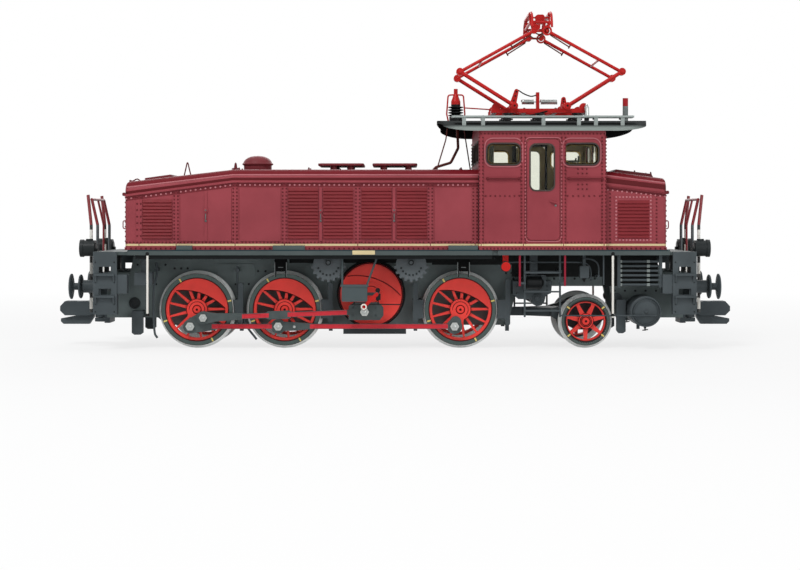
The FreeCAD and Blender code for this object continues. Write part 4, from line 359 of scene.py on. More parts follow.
def shoulder_lines(shade, paint):
    """Painted shade: deeper red on the crown, in the groove over the rain strip and on the row of
    rivets under the strip.
    """
    x, z = shade.x, shade.z
    short = shade.over(x, HOODS_APART_X)
    for hood, here in zip(SHOULDERS, (shade.math("SUBTRACT", 1.0, short), short)):
        (x0, z0), (x1, z1), groove, crown = hood
        line = shade.spread(x, x0 * MM, x1 * MM, z0 * MM, z1 * MM)
        rise = shade.math("SUBTRACT", z, line)
        for low, high, colour in ((-2.5, -0.2, STRIP_SHADE_RED), (*groove, GROOVE_SHADE_RED),
                                  (crown, 40.0, CROWN_SHADE_RED)):
            paint = shade.mix(shade.both(here, shade.within(rise, low, high)), paint, colour)
    return paint


def roof_zones(shade, paint):
    """Light edge band, dark crown, black underside as painted shade, and the cab's lining within.
    """
    edge = node_box("cab_roof")[0].z
    crown = shade.spread(shade.z, (edge + CROWN_FROM) * MM, (edge + CROWN_FULL) * MM, 0, 1)
    paint = shade.mix(crown, paint, ROOF_DARK)
    # painted shade: whatever faces down is black
    below = shade.math("LESS_THAN", shade.facing("Z"), -0.3)
    return shade.mix(below, paint, shade.mix(inside_cab(shade), JET, CAB_LINING))


def plank_joints(shade, paint):
    """Dark joints between the boards of the roof walkways."""
    across = shade.wide()
    above = shade.over(shade.z, node_box("roof_walkways")[1].z - PLANK_DEEP)
    for y in PLANK_JOINTS_Y:
        joint = shade.within(across, y - JOINT_HALF, y + JOINT_HALF)
        paint = shade.mix(shade.both(joint, above), paint, ROOF_DARK)
    return paint


def post_top(shade, paint):
    """Red band round the top of the roof post."""
    return shade.mix(shade.over(shade.z, node_box("roof_post")[1].z - POST_CAP), paint, POST_RED)


def arrester_red(shade, paint):
    """Red cap and horns on the black arrester."""
    horn = shade.over(shade.off(shade.x, ARRESTER_X), HORN_FROM)
    cap = shade.over(shade.z, node_box("arrester")[1].z - CAP_TALL)
    return shade.mix(shade.math("MAXIMUM", horn, cap), paint, PAN_RED)


def deck_edge(shade, paint):
    """Dark line along the top of the running plate's edge, and its shaded angle below."""
    z, low = shade.z, node_box("footplate")[0].z
    line = shade.within(z, *(low + up for up in DECK_LINE_Z))
    return shade.mix(shade.under(z, low + ANGLE_TOP), shade.mix(line, paint, DECK_LINE), DECK_ANGLE)


def grab_red(shade, paint):
    """Crimson grab rails beside the cab ladder."""
    outer = shade.over(shade.wide(), GRAB_FROM_Y)
    for x in GRAB_X:
        rail = shade.within(shade.x, x - GRAB_HALF, x + GRAB_HALF)
        paint = shade.mix(shade.both(rail, outer), paint, GRAB_RED)
    return paint


# deep shade on the frame: from x to x, above z
RECESSES = ((63.0, 112.0, 38.0), (112.0, 142.0, 33.0), (-57.0, 20.0, 45.5), (20.0, 63.0, 44.5))


def frame_recess(shade, paint):
    """Deep shade where the frame lies behind equipment."""
    for x0, x1, z0 in RECESSES:
        here = shade.both(shade.within(shade.x, x0, x1), shade.over(shade.z, z0))
        paint = shade.mix(here, paint, FRAME_DEEP)
    return paint


LEVER_FROM_X, LEVER_TOP_Z, LEVER_THICK = -20.0, 30.9, 0.45


def lever_red(shade, paint):
    """Red drive lever on the oil pump."""
    here = shade.both(shade.over(shade.wide(), node_box("lubricators")[1].y - LEVER_THICK),
                      shade.over(shade.x, LEVER_FROM_X))
    return shade.mix(shade.both(here, shade.under(shade.z, LEVER_TOP_Z)), paint, PAN_RED)


def metal(name, colour, roughness=0.3):
    """Bare or plated metal with fine marks."""
    shade = Shade(name)
    marks = shade.noise(0.35, 3.0, 0.7)
    shade.set(Base_Color=shade.mix(marks, darker(colour, 0.78), darker(colour, 1.12)),
              Roughness=shade.spread(marks, 0.2, 0.8, roughness - 0.08, roughness + 0.1),
              Metallic=1.0)
    shade.bump(marks, 0.08, 0.03)
    return shade


def glassy(name, colour):
    """Clear moulded window pane with faint flow marks."""
    shade = Shade(name)
    flow = shade.noise(6, 2.0)
    shade.set(Base_Color=shade.mix(flow, colour, darker(colour, 0.94)), Transmission_Weight=1.0,
              IOR=1.2, Roughness=0.03)
    shade.bump(flow, 0.03, 0.05)
    return shade


# on a hand pole, over its foot: where the joint and the red top start, then the rings' pitch
# and the part of it that is black
POLE_JOINT, POLE_TOP, POLE_PITCH, POLE_BLACK = 46.0, 48.6, 9.4, 0.36


def banded_pole(name):
    """White hand pole: black rings up to the kink, then a black joint and a red top."""
    shade = Shade(name)
    z, low = shade.z, node_box("hand_poles")[0].z
    turn = shade.math("DIVIDE", shade.math("SUBTRACT", z, low * MM), POLE_PITCH * MM)
    ring_share = shade.math("LESS_THAN", shade.math("FRACT", turn), POLE_BLACK)
    outside = shade.over(shade.math("ABSOLUTE", shade.x), node_box("buffer_beams")[1].x - 5)
    paint = shade.mix(shade.both(ring_share, outside), WHITE, JET)
    paint = shade.mix(shade.over(z, low + POLE_JOINT), paint, JET)
    paint = shade.mix(shade.over(z, low + POLE_TOP), paint, RAIL_RED)
    speckle = shade.mix(shade.noise(1.2), paint, darker(WHITE, 0.8))
    shade.set(Base_Color=shade.mix(shade.both(shade.noise(3), 0.10), paint, speckle),
              Roughness=0.45)
    shade.bump(shade.noise(0.35, 2.0), 0.1, 0.04)
    return shade


RED_FROM, MIDDLE_POST = 0.53, 4         # share of the railing's height, half width of its middle


def railing_paint(name):
    """End railing: red upper bars, black below the kink."""
    shade = Shade(name)
    low, high = node_box("end_railings")
    middle = shade.under(shade.wide(), MIDDLE_POST)
    above = shade.over(shade.z, low.z + RED_FROM * (high.z - low.z))
    red = shade.mix(shade.noise(4), darker(RAIL_RED, 0.9), darker(RAIL_RED, 1.15))
    shade.set(Base_Color=shade.mix(shade.math("MAXIMUM", middle, above), FRAME_BLACK, red),
              Roughness=0.42)
    shade.bump(shade.noise(0.35, 2.0), 0.1, 0.04)
    return shade


def steel_nuts(shade, share, red):
    """Finish the shade: red with bare steel where the share is 1."""
    grey = shade.mix(shade.noise(0.5), srgb(150, 154, 152), srgb(205, 208, 204))
    shade.set(Base_Color=shade.mix(share, red, grey), Metallic=shade.both(share, 0.9),
              Roughness=shade.spread(shade.noise(2), 0.25, 0.75, 0.32, 0.46),
              Specular_IOR_Level=0.25)
    shade.bump(shade.noise(0.4, 2.0), 0.12, 0.05)


def wheel_red_paint(name, node, depth, rim=None):
    """Red casting, its outer depth bare nuts, black beyond a rim (x, z, radius) if given."""
    shade = Shade(name)
    red = shade.mix(shade.noise(5, 4.0), darker(SIGNAL_RED, 0.84), darker(SIGNAL_RED, 1.1))
    if rim:
        apart = [shade.math("POWER", shade.math("SUBTRACT", value, centre * MM), 2.0)
                 for value, centre in ((shade.x, rim[0]), (shade.z, rim[1]))]
        reach = shade.math("SQRT", shade.math("ADD", *apart))
        black = shade.mix(shade.noise(0.6), srgb(46, 54, 54), srgb(66, 76, 75))
        red = shade.mix(shade.over(reach, rim[2]), red, black)
    steel_nuts(shade, shade.over(shade.wide(), node_box(node)[1].y - depth), red)
    return shade


def rod_paint(name, side, spans, start, slope):
    """Dark rod with red flutes: their spans along X, and the line that its middle follows."""
    shade = Shade(name)
    dx, dz = (CRANK[side][i] - CRANK[-1][i] for i in (0, 1))
    x = shade.math("SUBTRACT", shade.x, dx * MM)
    rise = shade.both(shade.math("SUBTRACT", x, start[0] * MM), slope)
    middle = shade.math("ADD", rise, (start[1] + dz) * MM)
    bar = shade.under(shade.math("ABSOLUTE", shade.math("SUBTRACT", shade.z, middle)),
                      FLUTE_HALF)
    inside = shade.math("MAXIMUM", *[shade.within(x, low, high) for low, high in spans])
    dark = shade.mix(shade.noise(3, 4.0), srgb(62, 70, 70), srgb(84, 93, 93))
    red = shade.mix(shade.noise(5, 4.0), srgb(188, 42, 54), srgb(214, 52, 64))
    steel_nuts(shade, shade.over(shade.wide(), ROD_NUT_Y),
               shade.mix(shade.both(bar, inside), dark, red))
    return shade


def tyre_steel(name):
    """Blackened tyre face, with the tread and flange bare and painted near-white as a painted
    reflection.
    """
    shade = Shade(name)
    face = shade.math("GREATER_THAN", shade.math("ABSOLUTE", shade.facing("Y")), 0.8)
    dark = shade.both(face, shade.over(shade.wide(), node_box("wheel_tyres_1")[1].y - TYRE_DARK))
    marks = shade.noise(0.6, 4.0, 0.7)
    # painted reflection: bright near-white tread and flange with little metal
    bright = shade.mix(marks, srgb(214, 219, 217), srgb(244, 246, 244))
    black = shade.mix(marks, srgb(52, 66, 64), srgb(76, 92, 88))
    shade.set(Base_Color=shade.mix(dark, bright, black),
              Metallic=shade.spread(dark, 0, 1, 0.12, 0.35),
              Roughness=shade.spread(marks, 0.2, 0.8, 0.22, 0.42))
    shade.bump(marks, 0.06, 0.03)
    return shade


FLUTE_HALF = 1.15
TYRE_DARK = 0.9                         # depth of the tyre's blackened face
PILOT_RED = (102.1, 14.53, 10.7)        # x, z and radius
ROD_NUT_Y = 33.45
COUPLING_SPANS = ((-97.6, -65.5), (-45.3, 28.2))
DRIVE_SPANS = ((-81.2, -67.0), (-57.0, -25.5))
LOOKS = {}


def make_looks():
    """One material for each finish, by name."""
    shades = [
        painted("body_paint", BODY_RED, 0.44, touches=(striped, shoulder_lines), gloss=0.08),
        painted("cab_paint", BODY_RED, 0.48, touches=(striped, lined), gloss=0.02),
        painted("fitting_paint", srgb(122, 54, 59), 0.44),
        # painted highlight: raised mouldings and beads in a lighter red than the body
        painted("moulding_highlight_paint", srgb(176, 104, 110), 0.44),
        # painted highlight: rivets in a pale red
        painted("rivet_highlight_paint", srgb(186, 118, 124), 0.40),
        painted("window_seal", srgb(72, 64, 60), 0.60),
        # painted shade: louvres in a darker red for the shade between the slats
        painted("louvre_shade_paint", srgb(124, 42, 47), 0.50),
        # painted shade: rivets, rails, hooks and wire in a darker red than the body
        painted("shaded_red_paint", darker(BODY_RED_DARK, 0.62), 0.40),
        painted("frame_paint", FRAME_BLACK, 0.48, 0.16),
        # painted light on the main frame plates, with painted shade in their recesses
        painted("frame_plate_paint", FRAME_PLATE_LIT, 0.52, 0.16, touches=(frame_recess,)),
        painted("lubricator_paint", srgb(78, 88, 90), 0.44, touches=(lever_red,)),
        painted("deck_paint", srgb(78, 87, 87), 0.52, 0.12, touches=(deck_edge,)),
        # painted shade: dark lines along the wheels' seams, grooves and relief edges
        painted("shade_line_paint", srgb(58, 14, 16), 0.5),
        painted("hub_paint", SIGNAL_RED, 0.36),
        painted("rod_dark", srgb(74, 82, 82), 0.42),
        painted("roof_paint", ROOF_GREY, 0.55, 0.06, touches=(roof_zones,), gloss=0.0),
        painted("plank_paint", srgb(158, 166, 163), 0.55, 0.08, touches=(plank_joints,),
                gloss=0.05),
        painted("post_paint", srgb(126, 134, 132), 0.5, touches=(post_top,)),
        painted("arrester_paint", JET, 0.35, touches=(arrester_red,)),
        painted("jet_paint", srgb(24, 26, 27), 0.4),
        painted("bolt_black", srgb(40, 44, 45), 0.45),
        painted("clamp_grey", srgb(128, 136, 134), 0.5),
        # painted shade: spring brackets near-black where they lie in shade under the deck
        painted("hanger_shade_paint", srgb(9, 10, 11), 0.5, gloss=0.05),
        painted("gear_paint", srgb(88, 94, 97), 0.5, 0.14),
        painted("ladder_paint", FRAME_BLACK, 0.48, 0.16, touches=(grab_red,)),
        painted("pantograph_paint", PAN_RED, 0.36, grain=0),
        painted("lead_paint", srgb(92, 44, 40), 0.50),
        painted("insulator_glaze", srgb(26, 26, 28), 0.30, 0.10, 0.03, 0.1),
        painted("cream_paint", CREAM, 0.45),
        painted("white_paint", WHITE, 0.45),
        painted("desk_paint", srgb(112, 122, 112), 0.50),
        painted("rubber_black", JET, 0.60),
        painted("lantern_paint", srgb(40, 44, 45), 0.40),
        painted("valve_red", srgb(190, 34, 30), 0.35),
        painted("motor_paint", srgb(70, 72, 74), 0.55),
        painted("mark_yellow", srgb(226, 206, 120), 0.50),
        metal("steel_bright", srgb(186, 190, 188), 0.28),
        metal("steel_dark", srgb(104, 108, 108), 0.36),
        metal("brass", srgb(196, 166, 96), 0.30),
        glassy("window_glass", (0.90, 0.91, 0.84, 1)),
        glassy("lens_glass", (0.96, 0.96, 0.93, 1)),
        banded_pole("pole_paint"),
        railing_paint("railing_paint"),
        wheel_red_paint("wheel_centre_paint", "wheel_centres_1", 1.2),
        wheel_red_paint("jackshaft_paint", "jackshaft", 1.4),
        wheel_red_paint("pilot_centre_paint", "wheel_centres_1", 1.2, PILOT_RED),
        tyre_steel("tyre_steel"),
    ]
    for name, side in (("right", -1), ("left", 1)):
        shades += [rod_paint("coupling_paint_" + name, side, COUPLING_SPANS, (-109.1, 11.97), 0.0),
                   rod_paint("drive_paint_" + name, side, DRIVE_SPANS, (-101.9, 16.67), 0.0375)]
    LOOKS.update({shade.name: shade.material for shade in shades})


NODE_LOOKS = {
    "body_paint": ("long_hood", "short_hood"),
    "cab_paint": ("cab_walls", "door_right", "door_left"),
    # the louvres' darker red is painted shade
    "louvre_shade_paint": ("hood_louvres",),
    "frame_plate_paint": ("main_frame",),
    "lubricator_paint": ("lubricators",),
    "frame_paint": ("buffer_beams", "corner_steps", "buffers", "brake_rigging", "rail_guards",
                    "air_tanks", "cooling_pipes", "equipment_boxes",
                    "pony_truck", "coupler_front", "coupler_rear"),
    "deck_paint": ("footplate", "end_platforms"),
    "coupling_paint_right": ("coupling_rod_right",),
    "coupling_paint_left": ("coupling_rod_left",),
    "drive_paint_right": ("drive_rod_right",),
    "drive_paint_left": ("drive_rod_left",),
    "jackshaft_paint": ("jackshaft",),
    "roof_paint": ("cab_roof",),
    "plank_paint": ("roof_walkways",),
    "post_paint": ("roof_post",),
    "arrester_paint": ("arrester",),
    "hanger_shade_paint": ("spring_brackets",),
    "gear_paint": ("gear_housings",),
    "ladder_paint": ("cab_ladders",),
    "pantograph_paint": ("pantograph_base", "pantograph_lower_arm_rear",
                         "pantograph_lower_arm_front", "pantograph_upper_arm_rear",
                         "pantograph_upper_arm_front", "pantograph_head"),
    "lead_paint": ("roof_leads",),
    "insulator_glaze": ("pantograph_insulators",),
    "desk_paint": ("control_desk",),
    "lantern_paint": ("lanterns",),
    "valve_red": ("side_valves",),
    "motor_paint": ("motor_block",),
    "steel_bright": ("pantograph_springs",),
    "window_glass": ("cab_glass", "door_glass_right", "door_glass_left"),
    "pole_paint": ("hand_poles",),
    "railing_paint": ("end_railings",),
    "wheel_centre_paint": ("wheel_centres_1", "wheel_centres_2", "wheel_centres_3"),
    "pilot_centre_paint": ("pilot_wheel_centres",),
    "tyre_steel": ("wheel_tyres_1", "wheel_tyres_2", "wheel_tyres_3", "pilot_wheel_tyres"),
}


def dress_nodes():
    """Give each CAD node listed in NODE_LOOKS its finish."""
    for look, names in NODE_LOOKS.items():
        for name in names:
            mesh = NODES[name].data
            mesh.materials.clear()
            mesh.materials.append(LOOKS[look])


# ------------------------------------------------------------------ pieces in mesh code
AHEAD, OUT, UP, DOWN = (1, 0, 0), (0, 1, 0), (0, 0, 1), (0, 0, -1)
SINK = -0.1                     # how deep the foot of a rivet or bolt sits in its plate
SHARP, CREASE = 0.7, 0.6        # radians: edges that get rounded, edges that shade as edges


class Mesh:
    """Points and faces of one piece, gathered from small closed forms."""

    def __init__(self):
        self.points = []
        self.faces = []

    def add(self, points, faces):
        first = len(self.points)
        self.points += points
        self.faces += [tuple(first + i for i in face) for face in faces]

    def lathe(self, centre, axis, profile, count=12, ring=False):
        """Turned form; profile rows are (distance along the axis, radius), closed up if a ring."""
        axis = Vector(axis).normalized()
        across = axis.orthogonal().normalized()
        other = axis.cross(across)
        points, rings = [], []
        for along, radius in profile:
            base = Vector(centre) + axis * along
            turns = [math.tau * i / count for i in range(count)] if radius else [0]
            rings.append([len(points) + i for i in range(len(turns))])
            points += [base + (across * math.cos(a) + other * math.sin(a)) * radius for a in turns]
        faces = []
        for low, high in zip(rings, rings[1:] + (rings[:1] if ring else [])):
            for i in range(count):
                j = (i + 1) % count
                corners = (low[i % len(low)], low[j % len(low)], high[j % len(high)],
                           high[i % len(high)])
                faces.append(tuple(dict.fromkeys(corners)))
        if not ring:
            faces += [tuple(end) for end in (rings[0], rings[-1]) if len(end) > 1]
        self.add(points, faces)

    def rivet(self, centre, outward, radius):
        self.lathe(centre, outward, ((SINK, radius), (0.4 * radius, 0.85 * radius),
                                     (0.75 * radius, 0)), 7)

    def bolt(self, centre, outward, radius, height):
        """Hexagon head with a turned top."""
        self.lathe(centre, outward, ((SINK, radius), (0.75 * height, radius),
                                     (height, 0.75 * radius)), 6)

    def wire_ring(self, x, y, z, radius, thick, count=48):
        """Round wire ring about an axis along Y."""
        profile = [(thick * math.cos(a), radius + thick * math.sin(a))
                   for a in (math.tau * i / 6 for i in range(6))]
        self.lathe((x, y, z), OUT, profile, count, ring=True)

    def tube(self, path, radius, count=8):
        """Round bar along a path of points."""
        path = [Vector(point) for point in path]
        along = [(b - a).normalized() for a, b in zip(path, path[1:])]
        across = along[0].orthogonal().normalized()
        points = []
        for i, point in enumerate(path):
            lean = (along[max(i - 1, 0)] + along[min(i, len(along) - 1)]).normalized()
            across = (across - lean * across.dot(lean)).normalized()
            other = lean.cross(across)
            turns = [math.tau * k / count for k in range(count)]
            points += [point + (across * math.cos(a) + other * math.sin(a)) * radius for a in turns]
        faces = [tuple(range(count)), tuple(range(len(points) - count, len(points)))]
        for i in range(0, len(points) - count, count):
            for k in range(count):
                n = (k + 1) % count
                faces.append((i + k, i + n, i + count + n, i + count + k))
        self.add(points, faces)

    def prism(self, outline, axis, start, end):
        """Outline of two coordinates, pushed along axis 0, 1 or 2 from start to end."""
        count = len(outline)
        points = [set_axis(axis, pair, level) for level in (start, end) for pair in outline]
        faces = [tuple(range(count)), tuple(range(count, 2 * count))]
        faces += [(i, (i + 1) % count, count + (i + 1) % count, count + i) for i in range(count)]
        self.add(points, faces)

    def block(self, low, high):
        (x0, y0, z0), (x1, y1, z1) = low, high
        self.prism(((x0, z0), (x1, z0), (x1, z1), (x0, z1)), 1, y0, y1)

    def frame(self, outer, inner, axis, start, end):
        """Flat ring between two outlines with as many points each."""
        count = len(outer)
        points = [set_axis(axis, pair, level) for level in (start, end)
                  for pair in (*outer, *inner)]
        faces = []
        for i in range(count):
            j = (i + 1) % count
            for a, b in ((0, 1), (2, 3), (0, 2), (1, 3)):
                a, b = a * count, b * count
                faces.append((a + i, a + j, b + j, b + i))
        self.add(points, faces)


class Pair(Mesh):
    """Mesh that makes each form on both sides, from its place on the left one.

    Prisms and frames along another axis than Y are made once, and so is what a call by way of
    Mesh makes, such as Mesh.tube(pair, ...)."""

    def lathe(self, centre, axis, *rest, **named):
        for side in SIDES:
            super().lathe(on_side(centre, side), on_side(axis, side), *rest, **named)

    def tube(self, path, *rest):
        for side in SIDES:
            super().tube([on_side(point, side) for point in path], *rest)

    def prism(self, outline, axis, start, end):
        for side in SIDES if axis == 1 else (1,):
            super().prism(outline, axis, side * start, side * end)

    def frame(self, outer, inner, axis, start, end):
        for side in SIDES if axis == 1 else (1,):
            super().frame(outer, inner, axis, side * start, side * end)


def on_side(point, side):
    x, y, z = point
    return x, side * y, z


def set_axis(axis, pair, level):
    """Point with the level along one axis and the pair along the other two."""
    point = list(pair)
    point.insert(axis, level)
    return point


def rounded(x0, x1, z0, z1, radius, steps=5):
    """Rectangle with rounded corners, as points round its edge."""
    outline = []
    for cx, cz, start in ((x1 - radius, z1 - radius, 0), (x0 + radius, z1 - radius, 90),
                          (x0 + radius, z0 + radius, 180), (x1 - radius, z0 + radius, 270)):
        for i in range(steps + 1):
            a = math.radians(start + 90 * i / steps)
            outline.append((cx + radius * math.cos(a), cz + radius * math.sin(a)))
    return outline


def inset(window, by, corner):
    """Rounded outline of a window (x0, x1, z0, z1), smaller by a margin all round."""
    x0, x1, z0, z1 = window
    return rounded(x0 + by, x1 - by, z0 + by, z1 - by, corner)


def smooth_path(knots, steps=8):
    """Curve through the knots, as points."""
    knots = [Vector(knot) for knot in knots]
    ends = [knots[0] * 2 - knots[1]] + knots + [knots[-1] * 2 - knots[-2]]
    path = []
    for a, b, c, d in zip(ends, ends[1:], ends[2:], ends[3:]):
        for i in range(steps):
            t = i / steps
            path.append((b * 2 + (c - a) * t + (a * 2 - b * 5 + c * 4 - d) * t * t
                         + (b * 3 - a - c * 3 + d) * t ** 3) / 2)
    return path + [knots[-1]]


def spaced(start, end, pitch):
    """Even places from start to end, about pitch apart."""
    count = max(1, round(abs(end - start) / pitch))
    return [start + (end - start) * i / count for i in range(count + 1)]


def around(x, z, radius, angles):
    """Places on a circle in the XZ plane, at angles in degrees."""
    turns = [math.radians(angle) for angle in angles]
    return [(x + radius * math.cos(a), z + radius * math.sin(a)) for a in turns]


def piece(name, mesh, look, body="chassis", bevel=0, replaced=()):
    """Make the object, round its edges, give it its finish and let it ride on its body, if any."""
    data = bpy.data.meshes.new(name)
    points = [[value * MM for value in point] for point in mesh.points]
    data.from_pydata(points, [], mesh.faces)
    work = bmesh.new()
    work.from_mesh(data)
    bmesh.ops.recalc_face_normals(work, faces=work.faces)
    if bevel:
        sharp = [e for e in work.edges if len(e.link_faces) == 2 and e.calc_face_angle() > SHARP]
        bmesh.ops.bevel(work, geom=sharp, offset=bevel * MM, segments=2, profile=0.6,
                        affect="EDGES")
    for face in work.faces:
        face.smooth = True
    for edge in work.edges:
        edge.smooth = len(edge.link_faces) == 2 and edge.calc_face_angle() < CREASE
    work.to_mesh(data)
    work.free()
    data.materials.append(LOOKS[look])
    made = add_object(name, data)
    if body:
        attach(made, body)
    if replaced:
        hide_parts(*replaced)
    return made


# ------------------------------------------------------------------ rivets and latches
HOOD_Y, SEAM_Y, FOOT_Y = 42, 42.35, 42.8      # half widths: side, seam strip, foot angle
CAB_Y, CAB_SEAM_Y, CAB_FOOT_Y = 45, 45.3, 45.6
RIVET_R = 0.56
SEAM_PITCH, WIDE_PITCH, FIRST_SEAM_PITCH = 1.9, 2.6, 3.2
SEAM_ROWS = (-0.95, 0.95)                       # a seam's two rows, from its middle
SEAM_CLEAR = 1.9                                # what a row keeps from a seam it skips
UNDER_STRIP = 1.3                               # top rivets, below the rain strip
STRIPE_Z = (55.05, 56.15)
LOW_ROW_Z = STRIPE_Z[1] + 0.75
FOOT_ROW_Z = 53.75
LONG_SEAMS = (-134.5, -115, -84, -58, -19.5, 18.7, 42.2)
LONG_ENDS = (-141.2, 43.6)
CAB_SEAMS = (45.2, 67.3, 88.4, 109.6)
LONG_STRIP = ((-142, 81), (-85.3, 88.4), (44.2, 88.4))       # underside of the rain strip
SHORT_STRIP = ((110.7, 86), (142.9, 82.2))
SHORT_FRAME = (115.4, 135.4, 57.2, 81.6)
SHORT_FRAME_Y = 42.35
POSTS = (-99.4, -39, -0.4)


def level(line, x):
    """Height of a bent line at x."""
    for (x0, z0), (x1, z1) in zip(line, line[1:]):
        if x <= x1:
            return z0 + (z1 - z0) * (x - x0) / (x1 - x0)
    return line[-1][1]


def rivet_row(pair, x0, x1, height, y, pitch, gaps=()):
    """Row along a side; the height is a number or a bent line, and gaps are seams to skip."""
    for x in spaced(x0, x1, pitch):
        if all(abs(x - gap) > SEAM_CLEAR for gap in gaps):
            z = level(height, x) - UNDER_STRIP if isinstance(height, tuple) else height
            pair.rivet((x, y, z), OUT, RIVET_R)


def rivet_column(pair, x, z0, z1, y, pitch=SEAM_PITCH):
    for z in spaced(z0, z1, pitch):
        pair.rivet((x, y, z), OUT, RIVET_R)


def add_rivets():
    # light gathers the rivets that get the pale painted highlight
    hood, cab, short, light = Pair(), Pair(), Pair(), Pair()
    for seam in LONG_SEAMS:
        pitch = FIRST_SEAM_PITCH if seam == LONG_SEAMS[0] else SEAM_PITCH
        for dx in SEAM_ROWS:
            top = level(LONG_STRIP, seam) - UNDER_STRIP
            rivet_column(hood, seam + dx, LOW_ROW_Z, top, SEAM_Y, pitch)
    rivet_row(hood, *LONG_ENDS, LOW_ROW_Z, HOOD_Y, SEAM_PITCH, LONG_SEAMS)
    rivet_row(hood, *LONG_ENDS, FOOT_ROW_Z, FOOT_Y, WIDE_PITCH)
    rivet_row(light, *LONG_ENDS, LONG_STRIP, HOOD_Y, WIDE_PITCH, LONG_SEAMS)
    for seam in CAB_SEAMS:
        for dx in SEAM_ROWS:
            rivet_column(cab, seam + dx, LOW_ROW_Z, 111.9, CAB_SEAM_Y)
    rivet_row(cab, 45.3, 109.8, 113.9, CAB_Y, SEAM_PITCH)
    rivet_row(cab, 46.4, 108.7, FOOT_ROW_Z, CAB_FOOT_Y, SEAM_PITCH)
    for x0, x1 in ((47.6, 65.2), (90.6, 107.4)):
        rivet_row(cab, x0, x1, 81.3, CAB_Y, WIDE_PITCH)
        rivet_row(cab, x0, x1, LOW_ROW_Z, CAB_Y, SEAM_PITCH)
    for z in (95.4, 93.1, 87.3, 84.9):
        rivet_row(cab, 96, 100.6, z, CAB_Y, 2.3)
    x0, x1, z0, z1 = SHORT_FRAME
    for x in (x0 + 0.9, x1 - 0.9):
        rivet_column(light, x, z0 + 0.9, z1 - 0.9, SHORT_FRAME_Y)
    for x in (x0 - 2.2, x1 + 2.2):
        rivet_column(short, x, LOW_ROW_Z, level(SHORT_STRIP, x) - UNDER_STRIP, HOOD_Y)
    for z in (z0 + 0.9, z1 - 0.9):
        rivet_row(light, x0 + 2.8, x1 - 2.8, z, SHORT_FRAME_Y, SEAM_PITCH)
    rivet_row(short, 111.6, 142, FOOT_ROW_Z, FOOT_Y, WIDE_PITCH)
    rivet_row(light, 112, 142, SHORT_STRIP, HOOD_Y, WIDE_PITCH)
    # the darker rivets carry painted shade and the pale ones a painted highlight
    for name, pair, look in (("long_hood_rivets", hood, "shaded_red_paint"),
                             ("cab_rivets", cab, "shaded_red_paint"),
                             ("highlight_rivets", light, "rivet_highlight_paint"),
                             ("short_hood_rivets", short, "shaded_red_paint")):
        piece(name, pair, look)


def add_latches():
    """Lock plate and drop handle on each post between the hood doors and louvres."""
    plates, pins = Pair(), Pair()
    for x in POSTS:
        plates.lathe((x, 42.6, 73.8), OUT, ((0, 1.15), (0.45, 1.1), (0.55, 0.7)), 20)
        pins.lathe((x, 43.1, 73.8), OUT, ((0, 0.5), (0.3, 0.4)), 12)
        pins.tube([(x, 42.5, 72), (x, 43.25, 71.7), (x, 43.3, 70.6), (x, 43.2, 69)], 0.28)
        pins.lathe((x, 42.6, 68.2), OUT, ((0, 0.65), (0.5, 0.6), (0.75, 0.3)), 14)
    piece("latch_plates", plates, "body_paint")
    piece("latch_handles", pins, "steel_dark")


# ------------------------------------------------------------------ cab windows and doors
SIDE_WINDOWS = ((48.2, 65.9, 97.6, 108.8), (88.9, 106.9, 97.6, 108.8))
SIDE_CORNER = 3.2
END_WINDOWS = ((-39, -19, 99.5, 110), (-9.5, 9.5, 99.5, 110), (19, 39, 99.5, 110))
END_CORNER = 2.5
CAB_ENDS = ((44.2, -1), (110.7, 1))
DOOR = (69, 86.7, 57.9, 111.3)
DOOR_WINDOW = (71, 83.5, 84.2, 108.4)
DOOR_CORNER = 3
# doorway seals, from the door's outline: x from and to, z from and to, y from and to
SEALS = ((67.3, 68, 57.3, 111.9, 41.4, 43.5), (68, 69.5, 57.3, 111.9, 41.4, 41.9),
         (86.2, 87.5, 57.3, 111.9, 42.9, 43.55), (71, 86.2, 110.8, 111.9, 42.9, 43.55),
         (71, 86.2, 57.3, 58.4, 42.9, 43.55))


def add_window_frames():
    """Mouldings, rubber seals and inner frames of the cab's windows."""
    hoods, rubber, brass = Pair(), Pair(), Pair()
    for window in SIDE_WINDOWS:
        raised = window[:3] + (window[3] + 1.7,)
        hoods.frame(inset(raised, -1.35, 4.4), inset(raised, -0.75, 3.8), 1, 44.9, 45.45)
        rubber.frame(inset(window, -0.5, SIDE_CORNER + 0.5), inset(window, 0.3, SIDE_CORNER - 0.3),
                     1, 44.1, 45.25)
        brass.frame(inset(window, 0.25, SIDE_CORNER - 0.25), inset(window, 1.1, SIDE_CORNER - 1),
                    1, 42.9, 43.4)
    for x, out in CAB_ENDS:
        for window in END_WINDOWS:
            rubber.frame(inset(window, -0.6, END_CORNER + 0.6),
                         inset(window, 0.4, END_CORNER - 0.4), 0, x - out * 0.9, x + out * 0.35)
    # the mouldings' lighter red is a painted highlight
    piece("window_mouldings", hoods, "moulding_highlight_paint", bevel=0.16)
    piece("window_rubber", rubber, "window_seal", bevel=0.12)
    piece("window_inner_frames", brass, "brass", bevel=0.08)


